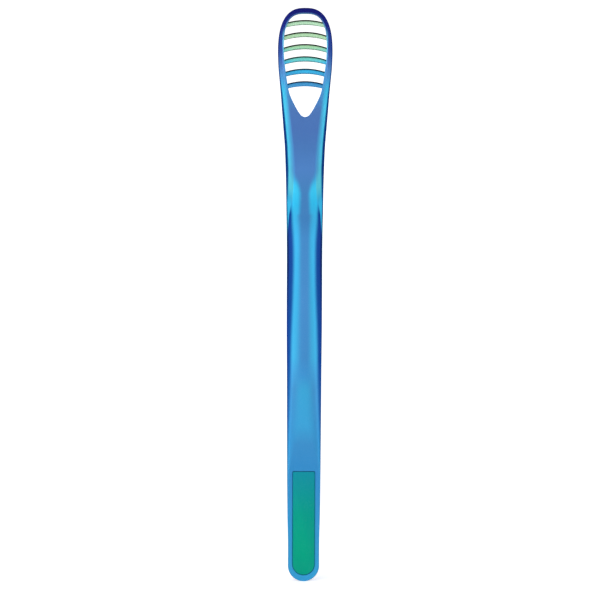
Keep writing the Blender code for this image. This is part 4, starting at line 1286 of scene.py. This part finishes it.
    # Pearl flakes: pale specks that lighten the tone a little, drawn coarser than real ones so that
    # they show
    flakes = add("ShaderNodeTexNoise", inputs={
        "Vector": place["Object"], "Scale": FLAKES_PER_MM * MM_PER_METRE, "Detail": 1.0})
    fleck = add("multiply", where((flakes, FLAKE_LEVELS)), FLAKE_COVER)
    tone = add("mix", fleck, tone, colour(FLAKE_TONE))
    # Moulding texture: a faint orange-peel ripple
    ripple = add("ShaderNodeTexNoise", inputs={
        "Vector": place["Object"], "Scale": RIPPLES_PER_MM * MM_PER_METRE, "Detail": 2.0})
    bump = add("ShaderNodeBump", inputs={
        "Height": ripple, "Strength": RIPPLE_STRENGTH, "Distance": RIPPLE_HEIGHT})
    shader = add("ShaderNodeBsdfPrincipled", inputs={
        "Base Color": tone, "Roughness": add("range", drift, 0.0, 1.0, *ROUGHNESS), "Metallic": gloss,
        "Specular IOR Level": 0.0, "Specular Tint": tone, "Normal": bump})
    add("ShaderNodeOutputMaterial", shader)
    return material


# Studio: the light of the room, the share of its white that reflections see, and the softboxes by
# place, width, height and power
AMBIENT = 0.32
MIRRORED_SHARE = 0.8
SOFTBOXES = {
    "softbox_back": ((0.35, 0.75, 0.50), 0.6, 0.6, 2.8),
    "softbox_left": ((-0.75, 0.25, 0.25), 0.5, 0.8, 2.3),
    "softbox_right": ((0.75, 0.25, 0.25), 0.5, 0.8, 2.3),
    "softbox_front": ((-0.35, -0.80, 0.45), 0.6, 0.6, 2.3),
}
# Floor: half its width, the number of paint grains in a metre, and its own glow near and far
FLOOR_HALF = 12
FLOOR_GRAINS = 60.0
FLOOR_TONES = [(0.3, "#F3F4F5"), (0.7, "#F6F6F6")]
FLOOR_GLOW_REACH = (0.1, 1.2)
FLOOR_GLOW = (0.52, 0.74)
WHITE = (1, 1, 1, 1)
CAMERA_AZIMUTH = 180.0
CAMERA_ELEVATION = 10.7
CAMERA_DISTANCE = 1.2
CAMERA_ROLL = 0.2
FRAME_SIZE = 0.2071
FRAME_CENTRE = (0.00152, 0.0, 0.0980)


# Painted floor: it keeps the object's shadow and shows pale to the camera and in reflections
def floor_paint():
    material, add = new_material("floor_paint")
    path = add("ShaderNodeLightPath").outputs
    seen = add("maximum", path["Is Camera Ray"], path["Is Glossy Ray"])
    seen = add("maximum", seen, path["Is Transmission Ray"])
    place = add("ShaderNodeTexCoord").outputs["Object"]
    grain = add("ShaderNodeTexNoise", inputs={"Vector": place, "Scale": FLOOR_GRAINS, "Detail": 4.0})
    paint = add("ShaderNodeBsdfDiffuse", add("ramp", grain, stops=FLOOR_TONES))
    # The far floor gets less of the lamps, so it shows a little brighter of its own.
    distance = add("ShaderNodeVectorMath", place, operation="LENGTH")
    level = add("range", distance, *FLOOR_GLOW_REACH, *FLOOR_GLOW)
    glow = add("ShaderNodeEmission", WHITE, add("multiply", seen, level))
    add("ShaderNodeOutputMaterial", add("ShaderNodeAddShader", paint, glow))
    return material


def make_world():
    """White to the camera and in reflections, a plain grey as light."""
    world = bpy.data.worlds.new("studio")
    bpy.context.scene.world = world
    world.use_nodes = True
    world.node_tree.nodes.clear()
    add = adder(world.node_tree)
    path = add("ShaderNodeLightPath").outputs
    seen = add("maximum", path["Is Camera Ray"], path["Is Transmission Ray"])
    seen = add("maximum", seen, add("multiply", path["Is Glossy Ray"], MIRRORED_SHARE))
    strength = add("range", seen, 0.0, 1.0, AMBIENT, 1.0)
    add("ShaderNodeOutputWorld", add("ShaderNodeBackground", WHITE, strength))


def softbox(name, place, width, height, power):
    """Rectangular lamp that points at the middle of the object and isn't seen itself."""
    light = bpy.data.lights.new(name, "AREA")
    light.shape = "RECTANGLE"
    light.size = width
    light.size_y = height
    light.energy = power
    obj = bpy.data.objects.new(name, light)
    bpy.context.scene.collection.objects.link(obj)
    obj.location = place
    away = Vector(place) - Vector((0.0, 0.0, OVERALL_HEIGHT / 2))
    obj.rotation_euler = away.to_track_quat("Z", "Y").to_euler()
    obj.visible_camera = False


def make_camera():
    """Camera without perspective that looks at the flat back from a little above."""
    turn, rise = math.radians(CAMERA_AZIMUTH), math.radians(CAMERA_ELEVATION)
    away = Vector((math.sin(turn) * math.cos(rise), -math.cos(turn) * math.cos(rise), math.sin(rise)))
    lens = bpy.data.cameras.new("camera")
    lens.type = "ORTHO"
    lens.ortho_scale = FRAME_SIZE
    camera = bpy.data.objects.new("camera", lens)
    bpy.context.scene.collection.objects.link(camera)
    camera.location = Vector(FRAME_CENTRE) + away * CAMERA_DISTANCE
    roll = Quaternion((0, 0, 1), math.radians(CAMERA_ROLL))
    camera.rotation_euler = (away.to_track_quat("Z", "Y") @ roll).to_euler()
    bpy.context.scene.camera = camera


# Handle and head: their tones by facing carry the painted highlights and painted shade listed above.
body_plastic = abs_with_painted_light(
    "pearl_abs_handle",
    flat=[(0.0, "#3AA4DA"), (0.20, "#388FCE"), (0.24, "#3F92CE"), (0.275, "#3FA6DC"),
          (0.335, "#3EA8DA"), (0.36, "#4196D4"), (0.39, "#448ECC"), (0.49, "#4A90CF"),
          (0.60, "#468BC9"), (0.634, "#4180BD"), (0.687, "#4781BD"), (0.722, "#4F82C4"),
          (0.757, "#4A79B9"), (0.792, "#4B73B5"), (0.827, "#4E76B6"), (0.862, "#4A8FCA"),
          (0.898, "#5A8FD0"), (0.933, "#4470B0"), (0.968, "#4070B4"), (1.0, "#2A50A8")],
    slope=[(0.0, "#3AA0D8"), (0.21, "#3E99D4"), (0.24, "#3A96D2"), (0.335, "#4495CF"),
           (0.37, "#45A5DD"), (0.39, "#43B2E4"), (0.49, "#3EB0E2"), (0.60, "#40B4E8"),
           (0.634, "#3CAFE1"), (0.66, "#30BAE9"), (0.687, "#3CC7F2"), (0.722, "#3AABDF"),
           (0.757, "#4AAEDF"), (0.862, "#48A8DA"), (0.898, "#5A8FD0"), (0.933, "#3C5CA8"),
           (1.0, "#22309A")],
    deep=[(0.0, "#2C8AC6"), (0.21, "#2C88C3"), (0.24, "#2680BA"), (0.283, "#246AB2"),
          (0.335, "#1E62AE"), (0.388, "#1850A4"), (0.49, "#17509F"), (0.60, "#1C4A9E"),
          (0.643, "#0F4496"), (0.660, "#38A8DC"), (0.687, "#5DC9DD"), (0.722, "#5ACBE4"),
          (0.757, "#50CDEE"), (0.827, "#4FCFF2"), (0.862, "#42BFE8"), (0.88, "#4FA0DA"),
          (0.898, "#5588C6"), (0.92, "#3F62B0"), (0.933, "#3450A0"), (0.968, "#2A42A0"),
          (0.99, "#1E2A90"), (1.0, "#15187A")],
    edge=[(0.0, "#2C8AC6"), (0.21, "#2680BA"), (0.25, "#1560A8"), (0.283, "#0C4C94"), (0.335, "#0D4690"),
          (0.388, "#103C8E"), (0.44, "#22429A"), (0.49, "#233C88"), (0.546, "#1A2670"),
          (0.60, "#1A3478"), (0.634, "#12588E"), (0.66, "#146AA4"), (0.687, "#0C5496"),
          (0.722, "#043F84"), (0.792, "#043A80"), (0.862, "#10508E"), (0.898, "#1E5098"),
          (0.918, "#163E88"), (0.943, "#0A2880"), (0.968, "#081E70"), (0.99, "#0A1256"),
          (1.0, "#14163C")],
    crease=[(0.0, "#3FB7EA"), (0.10, "#4FC4EE"), (0.20, "#7ADEFE"), (0.30, "#8ED5E4"),
            (0.45, "#4AC6EE"), (0.55, "#8FDCE6"), (0.65, "#8FDCD8"), (0.75, "#83CFE8"),
            (0.90, "#6FC8F4"), (0.97, "#3C62B8"), (1.0, "#1C2A90")],
    shoulder=[(0.0, "#1350A2"), (0.07, "#1466B0"), (0.21, "#1F7CC4"), (0.265, "#0F5CAD"),
              (0.315, "#0E4797"), (0.37, "#1A4A9A"), (0.50, "#24408E"), (1.0, "#3A5CAC")],
    front_side=[(0.0, "#10549A"), (0.035, "#3369AB"), (0.10, "#2C68AC"), (0.20, "#2A6AB4"),
                (0.30, "#3A6CB4"), (0.37, "#436CB2"), (0.42, "#2C519F"), (0.55, "#2A4F9C"),
                (0.60, "#3F66AF"), (0.90, "#3E5CA8"), (1.0, "#2C3A98")],
    highlight_band=[(0.0, "#10549A"), (0.035, "#1D74BC"), (0.07, "#49B0E5"), (0.15, "#55C5E8"),
          (0.30, "#4CB8E2"), (0.44, "#44A8DA"), (0.52, "#3A70B4"), (0.60, "#3F66AF"), (1.0, "#3E5CA8")],
    highlight_band_core=[(0.0, "#10549A"), (0.035, "#1D74BC"), (0.07, "#66C0E4"), (0.105, "#80CFC4"),
               (0.14, "#A8D8B6"), (0.225, "#A6D8B6"), (0.28, "#98D6BE"), (0.33, "#8ED4C6"),
               (0.40, "#7CCCD2"), (0.46, "#58B4DC"), (0.52, "#3A70B4"), (0.60, "#3F66AF"),
               (1.0, "#3E5CA8")],
    inside=[(0.82, "#4CB0E8"), (0.85, "#2A62B8"), (0.90, "#2A44A8"), (0.96, "#2A3AA4"),
            (1.0, "#35B4E8")],
    inside_rim_highlight=[(0.82, "#3A78B8"), (0.88, "#4490CC"), (0.92, "#66C4EC"), (0.97, "#7FDCF2"),
                (1.0, "#9BE8F8")],
    top=[(0.30, "#3FA0D8"), (0.60, "#3FA0D8"), (0.93, "#2A3C9C"), (1.0, "#17197A")],
    under_light_and_shade=[(0.0, "#1A4A9C"), (0.2, "#1A4A9C"), (0.55, "#14306C"), (0.88, "#1F3F98"),
           (0.93, "#5FD4EE"), (1.0, "#6ADBEE")],
)
# Blades: painted reflections on the bars' backs, pale green on the upper bars down to blue below; navy,
# partly painted shade, on their tops and shoulders.
blade_painted_reflections = [(0.868, "#4599D2"), (0.880, "#4599D2"), (0.888, "#3CBDF0"), (0.902, "#3CBDF0"),
               (0.910, "#74D8CE"), (0.924, "#74D8CE"), (0.933, "#AEE2B2"), (0.958, "#BCE6BA"),
               (0.980, "#BEEAC6"), (0.990, "#6CD0EE")]
blade_shaded_navy = [(0.86, "#2B2A84"), (1.0, "#2A3496")]
blade_plastic = abs_with_painted_light(
    "pearl_abs_blades",
    flat=blade_painted_reflections, slope=blade_painted_reflections, deep=blade_painted_reflections,
    edge=blade_shaded_navy, crease=blade_shaded_navy, shoulder=blade_shaded_navy,
    front_side=[(0.86, "#4450A4"), (0.97, "#4656A6"), (1.0, "#3A7CC8")],
    top=blade_shaded_navy,
    top_shade_line=[(0.8715, "#0A3050"), (0.880, "#0A3050"), (0.890, "#04364E"), (0.903, "#04364E"),
              (0.912, "#0E3A30"), (0.925, "#0E3A30"), (0.935, "#10180A"), (0.965, "#10180A"),
              (0.980, "#243418")],
    under_light_and_shade=[(0.865, "#58B0EA"), (0.876, "#58B0EA"), (0.884, "#4ED4FF"), (0.898, "#4ED4FF"),
           (0.907, "#88EAE8"), (0.920, "#88EAE8"), (0.929, "#C0F4C8"), (0.954, "#CCF6C8"),
           (0.976, "#C0F2CC"), (0.990, "#5FC4E6")],
    under_front_highlight=[(0.86, "#4CB0EC"), (0.93, "#84DCE4"), (1.0, "#84E4EE")],
    rim_low_highlight=[(0.86, "#58C0EC"), (0.97, "#54C8F0")],
    along_blades=True, pearl=0.15,
)
# Ribs: painted highlights on their sides and ends, a lighter top and a darker underside as painted light
# and shade.
rib_navy = [(0.38, "#1B2F78"), (0.58, "#1F3A8C")]
rib_highlight = [(0.38, "#4CB4E0"), (0.58, "#5CC0E4")]
grip_plastic = abs_with_painted_light(
    "pearl_abs_ribs",
    flat=rib_navy, slope=rib_navy, deep=rib_highlight, edge=rib_highlight, crease=rib_highlight,
    shoulder=[(0.38, "#274F9E"), (0.58, "#2A549F")],
    front_side=[(0.38, "#2F5BA6"), (0.58, "#31569F")],
    top=[(0.38, "#3C74BC"), (0.58, "#3F70B8")],
    under_light_and_shade=[(0.38, "#16296C"), (0.58, "#162A6C")],
    end_highlights=rib_highlight,
)
label_rim = [(0.0, "#0A6C8C")]
label_plastic = abs_with_painted_light(
    "pearl_abs_label",
    flat=[(0.05, "#03AA86"), (0.12, "#05A48E"), (0.19, "#149EAC")],
    slope=label_rim, deep=label_rim, edge=label_rim, crease=label_rim, shoulder=label_rim,
    front_side=label_rim,
)

body = make_body()
coat(body, body_plastic)
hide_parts("handle_frame")
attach(body, "root")

for number in range(1, BLADE_COUNT + 1):
    blade = make_lip() if number == 1 else make_blade(number)
    coat(blade, blade_plastic)
    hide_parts(f"scraper_blade_{number}")
    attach(blade, "root")

ribs = make_ribs(grip_plastic)
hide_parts("thumb_grip_pad")
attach(ribs, "root")

label = make_plate()
coat(label, label_plastic)
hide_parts("label_plate")
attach(label, "root")

corners = [(x * FLOOR_HALF, y * FLOOR_HALF, 0) for x, y in ((-1, -1), (1, -1), (1, 1), (-1, 1))]
floor = make_object("floor", corners, [(0, 1, 2, 3)])
coat(floor, floor_paint())

make_world()
for name, (place, width, height, power) in SOFTBOXES.items():
    softbox(name, place, width, height, power)
make_camera()
bpy.context.scene.view_settings.view_transform = "Standard"
